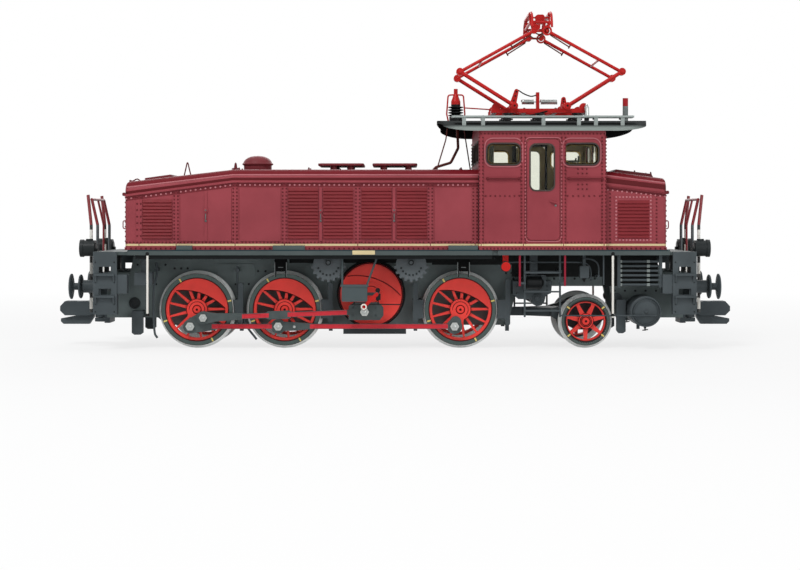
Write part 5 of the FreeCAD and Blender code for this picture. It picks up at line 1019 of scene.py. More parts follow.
def add_door_trim():
    """Window frame and lock on each door, and the moulding and seals round the doorway."""
    for side, body in ((-1, "door_right"), (1, "door_left")):
        rim, lock = Mesh(), Mesh()
        rim.frame(inset(DOOR_WINDOW, -0.55, DOOR_CORNER + 0.5),
                  inset(DOOR_WINDOW, 0.3, DOOR_CORNER - 0.3), 1, side * 44.5, side * 45.15)
        lock.lathe((84.2, side * 44.8, 76.2), (0, side, 0), ((0, 0.6), (0.3, 0.55), (0.4, 0.3)), 14)
        piece(body + "_window_frame", rim, "window_seal", body, 0.12)
        piece(body + "_lock", lock, "steel_dark", body)
    mouldings, seals = Pair(), Pair()
    mouldings.frame(inset(DOOR, -0.75, 2.4), inset(DOOR, -0.25, 1.9), 1, 44.9, 45.42)
    for x0, x1, z0, z1, y0, y1 in SEALS:
        seals.block((x0, y0, z0), (x1, y1, z1))
    piece("doorway_mouldings", mouldings, "moulding_highlight_paint", bevel=0.12)
    piece("doorway_seals", seals, "rubber_black")


# ------------------------------------------------------------------ wheels, rods and jackshaft
CRANK = {-1: (-3.206, -8.810), 1: (8.810, -3.206)}       # crank pin from its axle, by side
DRIVERS = (("wheelset_1", -105.9, 20.78), ("wheelset_2", -59, 20.78), ("wheelset_3", 35, 20.78))
PILOT = ("pilot_wheelset", 102.1, 14.53)
JACKSHAFT = ("jackshaft", -12.9, 28.7)
TYRE_FACE_Y = 26.5
WEIGHT_ARC_R, WEIGHT_NEAREST = 31.2, 8.9
# wheel sort: radii of the rim seam, tread, hub and hub groove, then the degrees of its four marks
DRIVER_RINGS = (16.8, 19.53, 5.35, 4.1, (15, 120, 200, 297))
PILOT_RINGS = (10.7, 13.28, 3.75, 3, (38, 142, 220, 320))
MARK_HALF = 0.42
PIN_CAP = ((-0.1, 1.55), (0.25, 1.5), (0.25, 1.15), (0.05, 1.05), (0.05, 0.75), (0.4, 0.65),
           (0.5, 0.3))


def weight_edge(mesh, x, z, side, rim, y):
    """Painted shade line along the inner edge of a balance weight's relief, opposite the crank."""
    dx, dz = CRANK[side]
    middle = math.atan2(-dz, -dx)
    back = WEIGHT_ARC_R - WEIGHT_NEAREST
    reach = math.acos((back ** 2 + WEIGHT_ARC_R ** 2 - rim ** 2) / (2 * back * WEIGHT_ARC_R))
    x0, z0 = x - back * math.cos(middle), z - back * math.sin(middle)
    turns = [math.degrees(middle + reach * (i / 8 - 1)) for i in range(17)]
    mesh.tube([(px, side * y, pz) for px, pz in around(x0, z0, WEIGHT_ARC_R, turns)], 0.24, 6)


def add_wheel_details(body, x, z, rings, driven):
    """Ring lines of painted shade, hub rings, four marks on the tyre, and the pins' caps if it is
    driven.
    """
    seam_r, tread_r, hub_r, groove_r, angles = rings
    lines, marks, red, caps = Mesh(), Mesh(), Mesh(), Mesh()
    for side in SIDES:
        face, out = side * TYRE_FACE_Y, (0, side, 0)
        for radius, sunk, thick, count in (
                (seam_r + 0.05, 0.12, 0.3, 96), (tread_r - 0.35, 0.05, 0.12, 96),
                (groove_r, -0.02, 0.24, 48), (2.3, -0.02, 0.24, 48), (hub_r + 0.3, 0.05, 0.2, 48)):
            lines.wire_ring(x, face - side * sunk, z, radius, thick, count)
        red.wire_ring(x, face - side * 0.05, z, hub_r, 0.22)
        red.lathe((x, face + side * 0.6, z), out, ((0, 1.95), (0.25, 1.8), (0.3, 0.8)), 24)
        lines.lathe((x, face + side * 0.85, z), out, ((0, 0.75), (0.12, 0.6)), 16)
        for angle in angles:
            cos, sin = math.cos(math.radians(angle)), math.sin(math.radians(angle))
            outline = [(x + r * cos - w * sin, z + r * sin + w * cos) for r, w in
                       ((seam_r + 0.15, -MARK_HALF), (tread_r - 0.6, -MARK_HALF),
                        (tread_r - 0.6, MARK_HALF), (seam_r + 0.15, MARK_HALF))]
            marks.prism(outline, 1, face - side * 0.1, face + side * 0.12)
        if driven:
            dx, dz = CRANK[side]
            weight_edge(lines, x, z, side, seam_r - 1.8, 25.72)
            caps.lathe((x + dx, side * 31.5, z + dz), out, PIN_CAP, 24)
    piece(body + "_lines", lines, "shade_line_paint", body)
    piece(body + "_hub_rings", red, "hub_paint", body)
    piece(body + "_marks", marks, "mark_yellow", body)
    if driven:
        piece(body + "_pin_caps", caps, "steel_bright", body)


def add_jackshaft_details():
    """Ring lines and relief edges of painted shade, and pin caps of the crank discs."""
    body, x, z = JACKSHAFT
    lines, caps = Mesh(), Mesh()
    for side in SIDES:
        dx, dz = CRANK[side]
        lines.wire_ring(x, side * 25.2, z, 16.85, 0.35, 96)
        lines.wire_ring(x, side * 26.4, z, 4.6, 0.2)
        weight_edge(lines, x, z, side, 15.9, 25.75)
        caps.lathe((x + dx, side * 34.7, z + dz), (0, side, 0), PIN_CAP, 24)
    piece("jackshaft_shade_lines", lines, "shade_line_paint", body)
    piece("jackshaft_pin_caps", caps, "steel_bright", body)


def add_rod_details():
    """Cap on the bolt of each drive rod's eye, oil cups on the bearings and big end bolts."""
    for side, body in ((-1, "rods_right"), (1, "rods_left")):
        out = (0, side, 0)
        caps, cups = Mesh(), Mesh()
        pins = [(x + CRANK[side][0], z + CRANK[side][1]) for _, x, z in (*DRIVERS, JACKSHAFT)]
        for x, z in pins[:3]:
            cups.lathe((x, side * 29.1, z + 3.6), UP,
                       ((0, 0.75), (0.7, 0.75), (0.7, 0.5), (1.15, 0.45)))
        x, z = pins[3]
        for bolt_x in (-6.2, 6):
            for bolt_z in (-1.9, 1.9):
                cups.bolt((x + bolt_x, side * 33.35, z + bolt_z), out, 0.6, 0.45)
        x, z = pins[0]
        caps.lathe((x + 7.2, side * 34, z + 4.7), out, PIN_CAP, 24)
        x, z = pins[1]
        caps.lathe((x + 8.8, side * 32.9, z), out, ((0, 0.75), (0.45, 0.7), (0.7, 0.4)), 16)
        piece(body + "_eye_caps", caps, "steel_bright", body)
        piece(body + "_oil_cups", cups, "rod_dark", body)


def add_wheels_and_rods():
    for driver in DRIVERS:
        add_wheel_details(*driver, DRIVER_RINGS, True)
    add_wheel_details(*PILOT, PILOT_RINGS, False)
    add_jackshaft_details()
    add_rod_details()
    rings = Pair()
    rings.wire_ring(-16.3, 42.6, 23, 1.25, 0.42, 28)
    piece("oil_pump_rings", rings, "white_paint")


# ------------------------------------------------------------------ roof and pantograph
BRACKETS = (36.5, 46.5, 78.3, 97, 106, 120)
PAN_X = 78.45
SPRING_Z = 133.7
# raising springs: start and end of the coil, hook's far end, turns
SPRINGS = ((69.6, 76.4, 77.6, 13), (80, 89.2, 79.3, 17))
COIL_R, WIRE_R = 1.25, 0.26
COIL_STEPS = 12                 # points in one turn of the coil


def add_springs():
    """Coil springs with hooks towards the anchor, in place of their plain outer shapes."""
    coils = Mesh()
    for x0, x1, hook, turns in SPRINGS:
        path, steps = [], turns * COIL_STEPS
        for i in range(steps + 1):
            a = math.tau * turns * i / steps
            path.append((x0 + (x1 - x0) * i / steps, COIL_R * math.cos(a),
                         SPRING_Z + COIL_R * math.sin(a)))
        coils.tube(path, WIRE_R, 5)
        near = x1 if abs(hook - x1) < abs(hook - x0) else x0
        coils.tube([(near, COIL_R, SPRING_Z), ((near + hook) / 2, 0.5, SPRING_Z),
                    (hook, 0, SPRING_Z)], WIRE_R, 6)
    piece("raising_springs", coils, "steel_bright",
          replaced=("pantograph_springs",))


def add_pantograph_details():
    """Valve cylinder, air line and bolt heads of the base frame."""
    steel, dark, bolts = Mesh(), Mesh(), Pair()
    steel.lathe((103.6, -17.2, 124.4), UP,
                ((0, 0.9), (0.6, 1.35), (5.2, 1.35), (5.8, 1), (6.8, 0.6)), 20)
    dark.tube(smooth_path([(63.5, -16.5, 126.4), (67.5, -17.2, 125.2), (73.5, -17.4, 125.4),
                           (79, -16.6, 126.8), (82.5, -16.2, 127.6)]), 0.34)
    dark.block((102.4, -18.4, 122.4), (104.8, -15.8, 124.6))
    for x in (54, 70, 87, 103):
        bolts.bolt((x, 15, 129), UP, 0.65, 0.5)
    piece("pantograph_cylinder", steel, "steel_bright")
    piece("pantograph_air_line", dark, "rubber_black")
    piece("pantograph_base_bolts", bolts, "steel_dark")


# arm: its name, side of the middle, and how far its spring lever reaches along X and Z
ARMS = (("rear", -1, (2.6, 9.6)), ("front", 1, (0, 5.2)))
SHAFT_DX, KNEE_DX, TOP_DX = 14.25, 43.55, 3.5
SHAFT_Z, KNEE_Z, ARM_RISE = 130, 148.4, 22.2


def add_arm_details():
    """Shaft caps, lever holes, knee nuts and the balance rods under the upper arms."""
    for name, s, (lever_x, lever_z) in ARMS:
        shaft, knee, top = (PAN_X + s * dx for dx in (SHAFT_DX, KNEE_DX, TOP_DX))
        caps, holes, nuts, rods = Pair(), Pair(), Pair(), Pair()
        caps.lathe((shaft, 23.5, SHAFT_Z), OUT, ((-0.2, 1.5), (0.3, 1.3), (0.3, 0.7), (0.1, 0.6)),
                   18)
        holes.lathe((shaft, 23.62, SHAFT_Z), OUT, ((0, 0.55), (0.06, 0.5)), 14)
        for share in (0.45, 0.72, 0.97):
            holes.lathe((shaft + lever_x * share, 1.2, SHAFT_Z + lever_z * share), OUT,
                        ((-0.05, 0.5), (0.06, 0.45)), 14)
        nuts.bolt((knee, 23.7, KNEE_Z), OUT, 1.1, 0.6)
        foot, arm = Vector((knee, 20.3, KNEE_Z)), Vector((top - knee, 0, ARM_RISE))
        along = arm.normalized()
        down = Vector((-s * along.z, 0, s * along.x))
        start, end = foot + arm * 0.68, foot + arm * 0.94
        rods.tube([start + down * 1.9, end + down * 1.2], 0.36)
        rods.tube([start, start + down * 2.8], 0.40)
        rods.tube([end, end + down * 1.3], 0.40)
        for part, mesh, look, body in (("shaft_caps_", caps, "pantograph_paint", "lower_"),
                                       ("lever_holes_", holes, "rubber_black", "lower_"),
                                       ("knee_nuts_", nuts, "pantograph_paint", "upper_"),
                                       ("balance_rods_", rods, "lead_paint", "upper_")):
            piece(part + name, mesh, look, "pantograph_" + body + name)


PIN_DX, STRIP_DX = 3.5, 5.2                     # from the head's middle
PIN_Z, BAR_Z, STRIP_Z = 170.6, 175.4, 179.5
HORN = ((19, 180.2), (23, 179.6), (26.6, 178.6), (29.2, 174.9), (30.4, 171.6))
STRIP = ((-1.1, 0), (-1.1, 1), (-0.7, 1.5), (0.7, 1.5), (1.1, 1), (1.1, 0))
HEAD_ENDS = ((-1.6, 174.9), (-2.4, 176), (-2.4, 179.2), (-1.2, 180), (1.8, 180),
             (2.6, 179.2), (2.6, 176), (1.8, 174.9))


def add_head_details():
    """Open frame of the head with its pins, contact strips and horns, and the shunt cables."""
    head, cable = Pair(), Pair()
    for s in (-1, 1):
        x, pin_x = PAN_X + s * STRIP_DX, PAN_X + s * PIN_DX
        horn = [(x, -y, z) for y, z in reversed(HORN)] + [(x, y, z) for y, z in HORN]
        Mesh.tube(head, smooth_path(horn, 4), 0.68, 10)
        Mesh.prism(head, [(x + dx, STRIP_Z + dz) for dx, dz in STRIP], 1, -17, 17)
        Mesh.tube(head, [(x, -18.6, BAR_Z), (x, 18.6, BAR_Z)], 0.75, 10)
        head.tube([(pin_x, 18.6, PIN_Z), (x, 18.6, BAR_Z)], 0.7, 10)
        head.lathe((pin_x, 17.9, PIN_Z), OUT, ((0, 1.45), (1.3, 1.45), (1.3, 0.68), (3.2, 0.68)),
                   20)
        head.tube([(x, 14, BAR_Z), (x, 14, 179.8)], 0.55, 10)
    for dx, y, z, radius in ((PIN_DX, 18.6, PIN_Z, 0.6), (STRIP_DX, 18.6, BAR_Z, 0.7),
                             (STRIP_DX, 14, 178.4, 0.5)):
        head.tube([(PAN_X - dx, y, z), (PAN_X + dx, y, z)], radius, 10)
    head.prism([(PAN_X + dx, z) for dx, z in HEAD_ENDS], 1, 15.2, 12.6)
    cable.tube(smooth_path([(PAN_X + dx, 11.5, z) for dx, z in
                            ((-4.6, 174.9), (-3.4, 171.6), (0, 169.6), (3.4, 171.6),
                             (4.6, 174.9))]), 0.38)
    piece("contact_head", head, "pantograph_paint", "pantograph_head",
          replaced=("pantograph_head",))
    piece("shunt_cables", cable, "lead_paint", "pantograph_head")


def add_lever_lead():
    """Lead from the raising lever to the middle post."""
    lead = Mesh()
    path = [(66.9, 0.9, 139.6), (68, 0.9, 140.1), (70.8, 0.7, 138.3), (74.3, 0.4, 136.9),
            (76.4, 0.2, 137), (77.9, 0, 137.6)]
    lead.tube(smooth_path(path, 4), 0.36, 10)
    made = piece("lever_lead", lead, "rubber_black", None)
    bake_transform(made)


def add_roof_details():
    """Screws of the walkway brackets and along the roof's edges."""
    screws = Pair()
    for x in BRACKETS:
        for y in (33.6, 36.5, 39.4):
            screws.rivet((x, y, 123.7), UP, 0.4)
    for x in spaced(47, 108, 3.4):
        screws.rivet((x, 46.3, 116.3), OUT, 0.28)
    piece("roof_screws", screws, "steel_dark")


# ------------------------------------------------------------------ frame and equipment below
FRAME_Y, DECK_Y = 17.5, 46
HANGERS = (-60.6, 36.4)
PIPES_Z, PIPE_PITCH, PIPES = 34.6, 2.45, 6
TANK = (132.4, 40, 20.3, 8.1)          # x, half width, z, radius
# bolts on the frame plates: first x, last x, z, pitch
FRAME_BOLTS = (
    (-139, -124, 44.5, 5), (-139, -129, 34, 5), (-122, -98, 48, 4),
    (-119, -112, 42.5, 3.5), (-74, -70, 41, 3), (-72, -50, 48, 4),
    (-86, -79, 34, 3.5), (-86, -79, 26, 3.5), (-34, -31, 40, 3),
    (-34, -31, 30, 3), (8, 11.5, 40, 3.5), (10, 13.5, 26, 3.5),
    (16, 58, 48, 4.2), (60, 66, 40, 3), (64, 108, 37, 5.5),
    (118.6, 141, 30.5, 5.6))


def add_frame_bolts():
    """Bolts on the frame plates, and round the covers over the gears."""
    bolts = Pair()
    for x0, x1, z, pitch in FRAME_BOLTS:
        for x in spaced(x0, x1, pitch):
            bolts.bolt((x, FRAME_Y, z), OUT, 0.62, 0.5)
    for x in (-35.1, 8.6):
        for bolt_x, bolt_z in around(x, 45.2, 5.6, range(200, 360, 20)):
            bolts.bolt((bolt_x, 39.5, bolt_z), OUT, 0.55, 0.4)
        bolts.wire_ring(x, 40.5, 46.2, 1.2, 0.35, 20)
    piece("frame_bolts", bolts, "bolt_black")


def add_hanger_straps():
    straps = Pair()
    for x in HANGERS:
        for dx in (-3.1, 3.1):
            straps.block((x + dx - 0.18, 34.5, 38.6), (x + dx + 0.18, 34.8, 46.3))
        straps.block((x - 1.3, 34, 43.4), (x + 1.3, 34.25, 43.7))
    piece("hanger_strap_edges", straps, "steel_dark")


COMPRESSOR = ((0, 2.6), (0.3, 3.4), (1.2, 3.7), (1.2, 3.45), (7.2, 3.45), (7.2, 3.7), (8.1, 3.4),
              (8.5, 2.6), (9.4, 1.2))
# air pipes: radius, then their points
AIR_PIPES = (
    (0.4, (68.8, 36.4, 41.4), (88, 36.4, 41.4)),
    (0.42, (60, 36, 46.3), (78, 36, 46.3), (97.6, 36.6, 46.2), (102.2, 36.8, 44.8),
     (103.6, 36.8, 41.5), (103.6, 36.8, 36.6)),
    (0.42, (99.6, 38.2, 48.4), (104.6, 38.2, 47.6), (107.4, 38.2, 44.6), (107.6, 38.2, 37)),
    (0.6, (-128, 24.5, 46), (-127.6, 24.5, 40), (-129.4, 24.5, 30), (-129, 24.5, 10),
     (-127.4, 24.5, 5.4)),
    (0.6, (-84.6, 24, 44), (-84.2, 24, 30), (-80.6, 24, 14), (-74.2, 24, 4.6)),
    (0.42, (109.6, 43.2, 50.3), (109.6, 43.2, 34.6)))
# brackets that hold them to the frame: x from and to, reach across, z from and to
PIPE_BRACKETS = ((-129, -127, 25, 41, 42.6), (-85.6, -83.6, 25, 41, 42.6),
                 (87.2, 88.4, 36.9, 40.6, 42), (103, 104.2, 37.2, 37.4, 38.4),
                 (107, 108.2, 38.6, 38.4, 39.4))


def add_pipework():
    """Compressor cylinder, air pipes, the thin pole and the drain cock."""
    black, pipes, grey = Pair(), Pair(), Pair()
    black.lathe((69.4, 35.4, 35.4), AHEAD, COMPRESSOR, 28)
    black.lathe((100, 37, 38.3), DOWN, ((0, 1.2), (0.9, 1.1), (1.3, 0.6), (2.2, 0.45)), 14)
    for radius, *path in AIR_PIPES:
        pipes.tube(smooth_path(path) if len(path) > 2 else path, radius)
    for x0, x1, y, z0, z1 in PIPE_BRACKETS:
        pipes.block((x0, 17.3, z0), (x1, y, z1))
    for x in (118.9, 133.5):
        for i in range(PIPES):
            z = PIPES_Z + i * PIPE_PITCH
            grey.block((x - 0.8, 39.6, z - 0.75), (x + 0.8, 40.85, z + 0.75))
    piece("compressor_cylinders", black, "jet_paint")
    piece("air_pipes", pipes, "frame_paint")
    piece("cooling_pipe_clamps", grey, "clamp_grey", bevel=0.15)


def add_tank_details():
    """Rings and drain cock of the air tank, and the round cover on the frame beside it."""
    x, y, z, r = TANK
    trim, cocks = Pair(), Pair()
    trim.wire_ring(x, y - 0.2, z, r - 0.35, 0.35)
    trim.wire_ring(x, y - 0.1, z, r - 1.6, 0.16)
    trim.bolt((x, y, z), OUT, 0.9, 0.7)
    trim.lathe((119.6, FRAME_Y, 26.4), OUT,
               ((-0.2, 3.1), (0.9, 3), (0.9, 2.2), (0.5, 2), (0.5, 0.9), (1.1, 0.8)), 28)
    cocks.lathe((x, 36, z - r + 0.3), DOWN, ((0, 0.7), (1.2, 0.7), (1.2, 0.4), (2.4, 0.4)), 10)
    cocks.tube([(x - 1.4, 36, z - r - 1.9), (x + 1.6, 36, z - r - 1.5)], 0.3)
    piece("tank_trim", trim, "frame_paint")
    piece("tank_drain_cocks", cocks, "bolt_black")


def add_deck_details():
    """Blank plate on the deck's edge, handrail clamps and the valve's hexagon."""
    plates, clamps, valves = Pair(), Pair(), Pair()
    plates.block((-22.2, DECK_Y - 0.1, 50.55), (-10.4, DECK_Y + 0.3, 52.7))
    for x in (-129.6, 114.2):
        clamps.lathe((x, 45.3, 50), UP, ((0, 0.7), (0.3, 1.15), (1.5, 1.15), (1.9, 0.7)), 18)
        clamps.lathe((x, 45.3, 18.2), UP, ((0, 0.6), (0.2, 1), (1.2, 1), (1.5, 0.6)), 18)
    valves.bolt((58.3, 42.6, 44.2), OUT, 3.1, 0.7)
    piece("blank_edge_plates", plates, "cream_paint", bevel=0.1)
    piece("handrail_clamps", clamps, "jet_paint")
    piece("valve_seats", valves, "bolt_black")


BRAKE_OUTLINE = ((62.9, 36), (84, 36), (83.4, 29.6), (80.6, 28.4), (79.8, 25),
                 (78.2, 23.1), (75.6, 22.6), (73.4, 23.8), (72.4, 26.4), (66, 26.4),
                 (62.9, 29))
COVER_X, COVER_Z = -140.6, 23.8


def add_brake_cylinders():
    """Brake cylinder and its bracket behind the cab ladder, and the cover on the rear frame."""
    block, cover = Pair(), Pair()
    block.prism(BRAKE_OUTLINE, 1, 17.2, 28.5)
    block.lathe((76, 28.3, 26.6), OUT, ((0, 2.9), (0.8, 2.7), (0.8, 1.7), (1.6, 1.6)), 24)
    for x, z in ((65, 33.6), (70, 33.6), (81.5, 33.6), (81, 30.4), (65, 29.6)):
        block.bolt((x, 28.5, z), OUT, 0.7, 0.5)
    cover.lathe((COVER_X, FRAME_Y, COVER_Z), OUT,
                ((-0.2, 3.1), (0.9, 3), (1.1, 2.2), (1.1, 0.9)), 28)
    for x, z in around(COVER_X, COVER_Z, 2, range(0, 360, 60)):
        cover.bolt((x, FRAME_Y + 1, z), OUT, 0.55, 0.5)
    piece("brake_cylinders", block, "frame_paint", bevel=0.35)
    piece("frame_covers", cover, "bolt_black")


CRANK_DISC_R = 17.2


def add_jackshaft_surround():
    """Black rings of painted shade at the edges of the frame's openings behind the crank discs."""
    rings = Pair()
    rings.lathe((JACKSHAFT[1], FRAME_Y + 0.02, JACKSHAFT[2]), OUT,
                ((0, CRANK_DISC_R + 0.1), (0.2, CRANK_DISC_R + 0.1), (0.2, CRANK_DISC_R + 1.1),
                 (0, CRANK_DISC_R + 1.3)), 72)
    piece("jackshaft_shade_rings", rings, "jet_paint")


PUMP_Y = 41.6


def add_pump_gear():
    """Knob, ratchet box and control rod of the oil pumps."""
    gear = Pair()
    gear.lathe((-9, PUMP_Y - 1.6, 31.7), OUT, ((0, 1.25), (1.3, 1.25), (1.7, 0.9), (1.7, 0.1)),
               20)
    gear.block((-10, PUMP_Y - 1.8, 26.6), (-7.5, PUMP_Y, 29.9))
    gear.tube([(-23.4, PUMP_Y, 24.2), (-9, PUMP_Y, 24.3), (2.8, PUMP_Y, 24.2)], 0.28)
    gear.tube([(-8.8, PUMP_Y - 0.8, 26.8), (-8.8, PUMP_Y, 24.3)], 0.3)
    gear.tube([(-21.4, PUMP_Y, 26), (-21.4, PUMP_Y, 24.2)], 0.3)
    piece("pump_gear", gear, "jet_paint")


# ------------------------------------------------------------------ end fittings
BEAM_FACE, BUFFER_Y, BUFFER_Z = 158.6, 27.3, 33.2
LANTERN_Y, LANTERN_Z, LANTERN_FACE = 27.5, 53.6, 168
MIRROR = ((0.02, 0), (0.06, 1.6), (0.2, 2.8), (0.45, 3.75), (0, 3.85))
LENS = ((0.35, 3.8), (0.55, 3.8), (0.85, 2.6), (0.97, 1.2), (1, 0))


def add_lantern_lenses():
    mirrors, lenses = Pair(), Pair()
    for end in ENDS:
        at = (end * (LANTERN_FACE - 1), LANTERN_Y, LANTERN_Z)
        mirrors.lathe(at, (end, 0, 0), MIRROR, 32)
        lenses.lathe(at, (end, 0, 0), LENS, 32)
    piece("lantern_mirrors", mirrors, "steel_bright")
    piece("lantern_lenses", lenses, "lens_glass")


def add_beam_details():
    """Bolts round the buffers, and rivets along the beams and on the platform's side plates."""
    bolts = Pair()
    for end in ENDS:
        out = (end, 0, 0)
        for dy in (-5.6, 5.6):
            for dz in (-4.6, 4.6):
                bolts.bolt((end * BEAM_FACE, BUFFER_Y + dy, BUFFER_Z + dz), out, 0.85, 0.7)
        for y in spaced(10.5, 40.6, 3):
            for z in (25.3, 39.2):
                bolts.rivet((end * BEAM_FACE, y, z), out, 0.5)
        for x in (147.3, 157.2):
            for z in (46.5, 36, 24.5, 20.5):
                bolts.rivet((end * x, 43.5, z), OUT, 0.45)
    piece("beam_bolts", bolts, "bolt_black")


HOOD_ENDS = ((-142, -1, 80.5), (142.9, 1, 81.5))         # x, way out, height of the top rivets
HANDLE_Y = 37.2


def add_body_end_details():
    """Rivets on the hoods' end walls and the small grab handles."""
    rivets, handles = Pair(), Pair()
    for x, out, top in HOOD_ENDS:
        places = [(39.8, z) for z in spaced(57.5, top, 2.6)]
        places += [(y, z) for y in spaced(2.2, 37.4, 3.2) for z in (57.2, top)]
        for y, z in places:
            rivets.rivet((x, y, z), (out, 0, 0), RIVET_R)
        handles.tube(smooth_path([(x + out * off, HANDLE_Y, z) for off, z in
                                  ((0, 68.4), (1.5, 68), (1.7, 66.2), (1.5, 64.4), (0, 64))],
                                 5), 0.3)
    piece("hood_end_rivets", rivets, "shaded_red_paint")
    piece("hood_end_handles", handles, "body_paint")


def add_cab_handrails():
    """Rails under the side windows, with their end fittings."""
    rails = Pair()
    for x0, x1 in ((48.6, 65), (91, 108.6)):
        rails.tube([(x0, 46, 90.35), (x1, 46, 90.35)], 0.42, 10)
        for x in (x0, x1):
            rails.lathe((x, 45.6, 90.35), OUT, ((0, 0.75), (0.5, 0.75), (0.85, 0.45)), 14)
    piece("cab_handrails", rails, "shaded_red_paint")


# crowns of both hoods: (x, z) at the ends and the break
LONG_CROWN = ((-142, 89.7), (-85.3, 96.3), (44.2, 96.3))
SHORT_CROWN = ((110.7, 95.6), (142.9, 91.5))
SHOULDER_R, CROWN_RISE = 6, 0.9
BEAD_R, BEAD_SHORT = 0.42, 0.8
# what stands on top: x, crown, height
TOP_KNOBS = ((139.4, SHORT_CROWN, 3), (130.6, SHORT_CROWN, 2.7), (-47, LONG_CROWN, 1.1),
             (-30.5, LONG_CROWN, 1), (36, LONG_CROWN, 1.1), (-85, LONG_CROWN, 1))


def shoulder_bead(pair, crown, drop):
    """Bead along the shoulder of a hood, so far below its crown, ending short of the end wall."""
    up = SHOULDER_R + CROWN_RISE - drop
    y = HOOD_Y - SHOULDER_R + math.sqrt(SHOULDER_R ** 2 - up ** 2)
    path = [Vector((x, y, z - drop)) for x, z in crown]
    wall = path[0] if crown is LONG_CROWN else path[-1]
    wall.x -= math.copysign(BEAD_SHORT, wall.x)
    pair.tube(path, BEAD_R)


def add_hood_beads():
    """Gutter beads along the shoulders, lid on the short hood, hooks and knobs on top."""
    beads, lid, hooks = Pair(), Mesh(), Pair()
    shoulder_bead(beads, LONG_CROWN, 3.9)
    shoulder_bead(beads, SHORT_CROWN, 3.4)
    lid.prism([(x, level(SHORT_CROWN, x) + dz) for x, dz in
               ((118.2, -0.6), (119.6, 1.7), (139, 1.7), (140.2, -0.6))], 1, -15, 15)
    for x, crown, tall in TOP_KNOBS:
        hooks.lathe((x, 9, level(crown, x) - 0.6), UP,
                    ((0, 0.9), (0.4, 0.9), (tall * 0.8, 0.55), (tall + 0.6, 0.3)))
    hooks.tube(smooth_path([(-141, 30, 88.2), (-141.2, 30, 89.7), (-139.8, 30, 89.4),
                            (-137.4, 30, 90.5), (-135.8, 30, 89.6)], 5), 0.36)
    for x, z in ((-142.4, 82.2), (143.3, 83.2)):
        hooks.lathe((x, 42.2, z), UP, ((-0.9, 0.5), (-0.5, 0.9), (0.5, 0.9), (0.9, 0.5)))
    # the beads' lighter red is a painted highlight
    piece("shoulder_beads", beads, "moulding_highlight_paint")
    piece("short_hood_lid", lid, "fitting_paint", bevel=0.4)
    piece("hood_hooks", hooks, "shaded_red_paint")


DOME = ((0, 7.65), (2.6, 7.65), (2.8, 8.3), (3, 8.5), (3.6, 8.5), (3.8, 7.95), (4.9, 7.5),
        (5.9, 6.7), (6.8, 5.4), (7.4, 3.9), (7.75, 2), (7.85, 0.4))
WHISTLE = ((0, 0.9), (2.2, 0.9), (2.4, 2.2), (3, 2.1), (3.5, 0.9), (5.6, 0.6), (6.2, 0.25))
# hatch covers: x from and to, then the places of their feet
COVERS = (((-41.6, -16.8), (-33.3, -24.2)), ((-12.2, 12.1), (-6.2, 7.3)))


def add_hood_fittings():
    """Dome, hatch covers, whistle and lifting wire, rounder than their plain outer shapes."""
    made, wire, seam = Pair(), Mesh(), Pair()
    top = LONG_CROWN[1][1]
    Mesh.lathe(made, (-75.6, 0, top - 0.2), UP, DOME, 48)
    for (x0, x1), feet in COVERS:
        made.prism(rounded(x0, x1, -19, 19, 3), 2, top + 1.7, top + 3)
        for x in feet:
            made.lathe((x, 15, top - 0.8), UP, ((0, 1.8), (2.6, 1.8)), 20)
    Mesh.prism(made, [(x, level(LONG_CROWN, x) + rise) for x, rise in
                      ((-135.6, -0.8), (-135.6, 1), (-121.4, 1.3), (-121.4, -0.8))], 1, -15, 15)
    wire.lathe((-87.8, 0, top - 2.2), UP, WHISTLE, 18)
    wire.tube(smooth_path([(-116.5, 0, 91.4), (-115.3, 0, 96.6), (-114.3, 0, 100.3),
                           (-113.3, 0, 96.7), (-112.1, 0, 91.8)], 6), 0.35)
    seam.block((43.75, 42.2, 57), (44.25, 42.75, 92))
    piece("hood_top_covers", made, "fitting_paint", bevel=0.35,
          replaced=("hood_fittings",))
    piece("whistle_and_wire", wire, "shaded_red_paint")
    piece("cab_joint", seam, "jet_paint")


# along the buffer from the beam, and radius: base, stock, shank with its collar, head's back
BUFFER_PROFILE = (
    (0, 5), (1.2, 5), (1.2, 3.7), (2, 3.4), (7.8, 3.4), (8.1, 2.9), (8.1, 1.9), (8.7, 1.9),
    (8.7, 6.1), (8.9, 6.4), (9.4, 6.4), (9.7, 6.1), (9.7, 1.9), (12.9, 1.9), (13.5, 2.8),
    (13.7, 5.9), (13.9, 6.5))


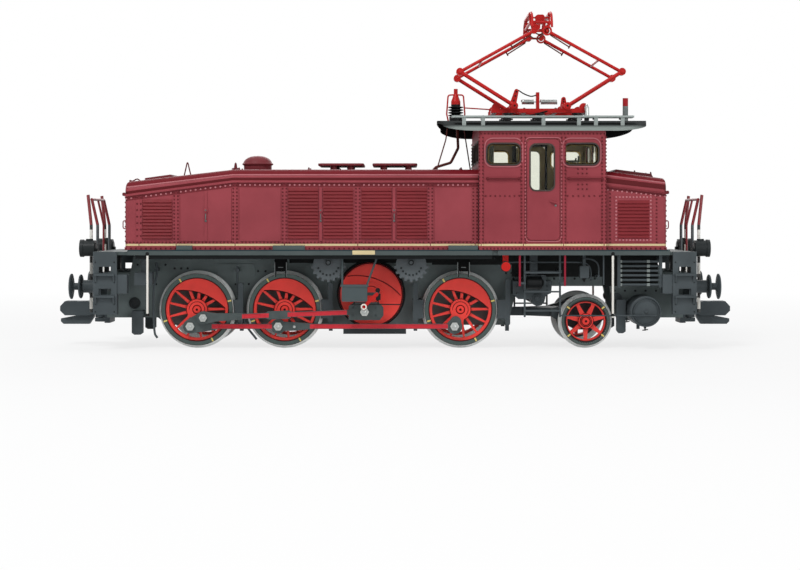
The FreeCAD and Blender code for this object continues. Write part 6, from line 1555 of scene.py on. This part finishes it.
def add_buffers():
    """Buffers with thin heads and a collar on the shank, within the length of the CAD ones."""
    buffers = Pair()
    high = node_box("buffers")[1]
    face, head_r = high.x - BEAM_FACE, high.z - BUFFER_Z
    head = ((face - 0.9, head_r), (face - 0.4, head_r), (face - 0.1, head_r - 0.5),
            (face, head_r - 1.6), (face, 0.2))
    for end in ENDS:
        buffers.lathe((end * BEAM_FACE, BUFFER_Y, BUFFER_Z), (end, 0, 0), BUFFER_PROFILE + head, 48)
    piece("buffer_set", buffers, "frame_paint", replaced=("buffers",))


def stand_in(node, name, body, matrix=None, move=None):
    """A copy of a CAD node, with its mesh turned or its points moved, shown in the node's place."""
    data = NODES[node].data.copy()
    if matrix:
        data.transform(matrix)
    if move:
        for vertex in data.vertices:
            move(vertex.co)
    made = add_object(name, data)
    made.matrix_world = NODES[node].matrix_world.copy()
    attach(made, body)
    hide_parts(node)


PILOT_SPOKES = 7


def turn_pilot_centres():
    """Pilot wheels standing with a spoke straight down, half a spoke's spacing on from the CAD."""
    _, x, z = PILOT
    axle = Vector((x, 0, z)) * MM
    turn = Matrix.Rotation(math.pi / PILOT_SPOKES, 4, "Y")
    stand_in("pilot_wheel_centres", "pilot_centres_turned", "pilot_wheelset",
             matrix=Matrix.Translation(axle) @ turn @ Matrix.Translation(-axle))


# a pole's clips reach this far off the beam; it moves out by so much below its lean and at its top
POLE_CLIP, POLE_OFF, POLE_OFF_TOP = 2.3, 1.3, 0.2
LEAN_Z, LEAN_RISE = 66, 16


def move_pole(point):
    """Move a point of the hand poles outwards by what the real poles stand further off."""
    if abs(point.x) > (BEAM_FACE + POLE_CLIP) * MM:
        risen = min(max(point.z / MM - LEAN_Z, 0) / LEAN_RISE, 1)
        point.x += math.copysign((POLE_OFF + (POLE_OFF_TOP - POLE_OFF) * risen) * MM, point.x)


def add_hand_poles():
    """The hand poles, standing off the beam as far as the real ones, on longer clips."""
    stand_in("hand_poles", "banded_hand_poles", "chassis", move=move_pole)


def main():
    make_looks()
    dress_nodes()
    for add in (add_rivets, add_latches, add_window_frames, add_door_trim, add_wheels_and_rods,
                add_springs, add_pantograph_details, add_arm_details, add_head_details,
                add_lever_lead, add_roof_details, add_frame_bolts, add_hanger_straps,
                add_pipework, add_tank_details, add_deck_details, add_lantern_lenses,
                add_beam_details, add_body_end_details, add_cab_handrails, add_hood_beads,
                add_hood_fittings, add_brake_cylinders, add_jackshaft_surround, add_pump_gear,
                add_buffers, add_hand_poles, turn_pilot_centres, add_studio):
        add()


main()
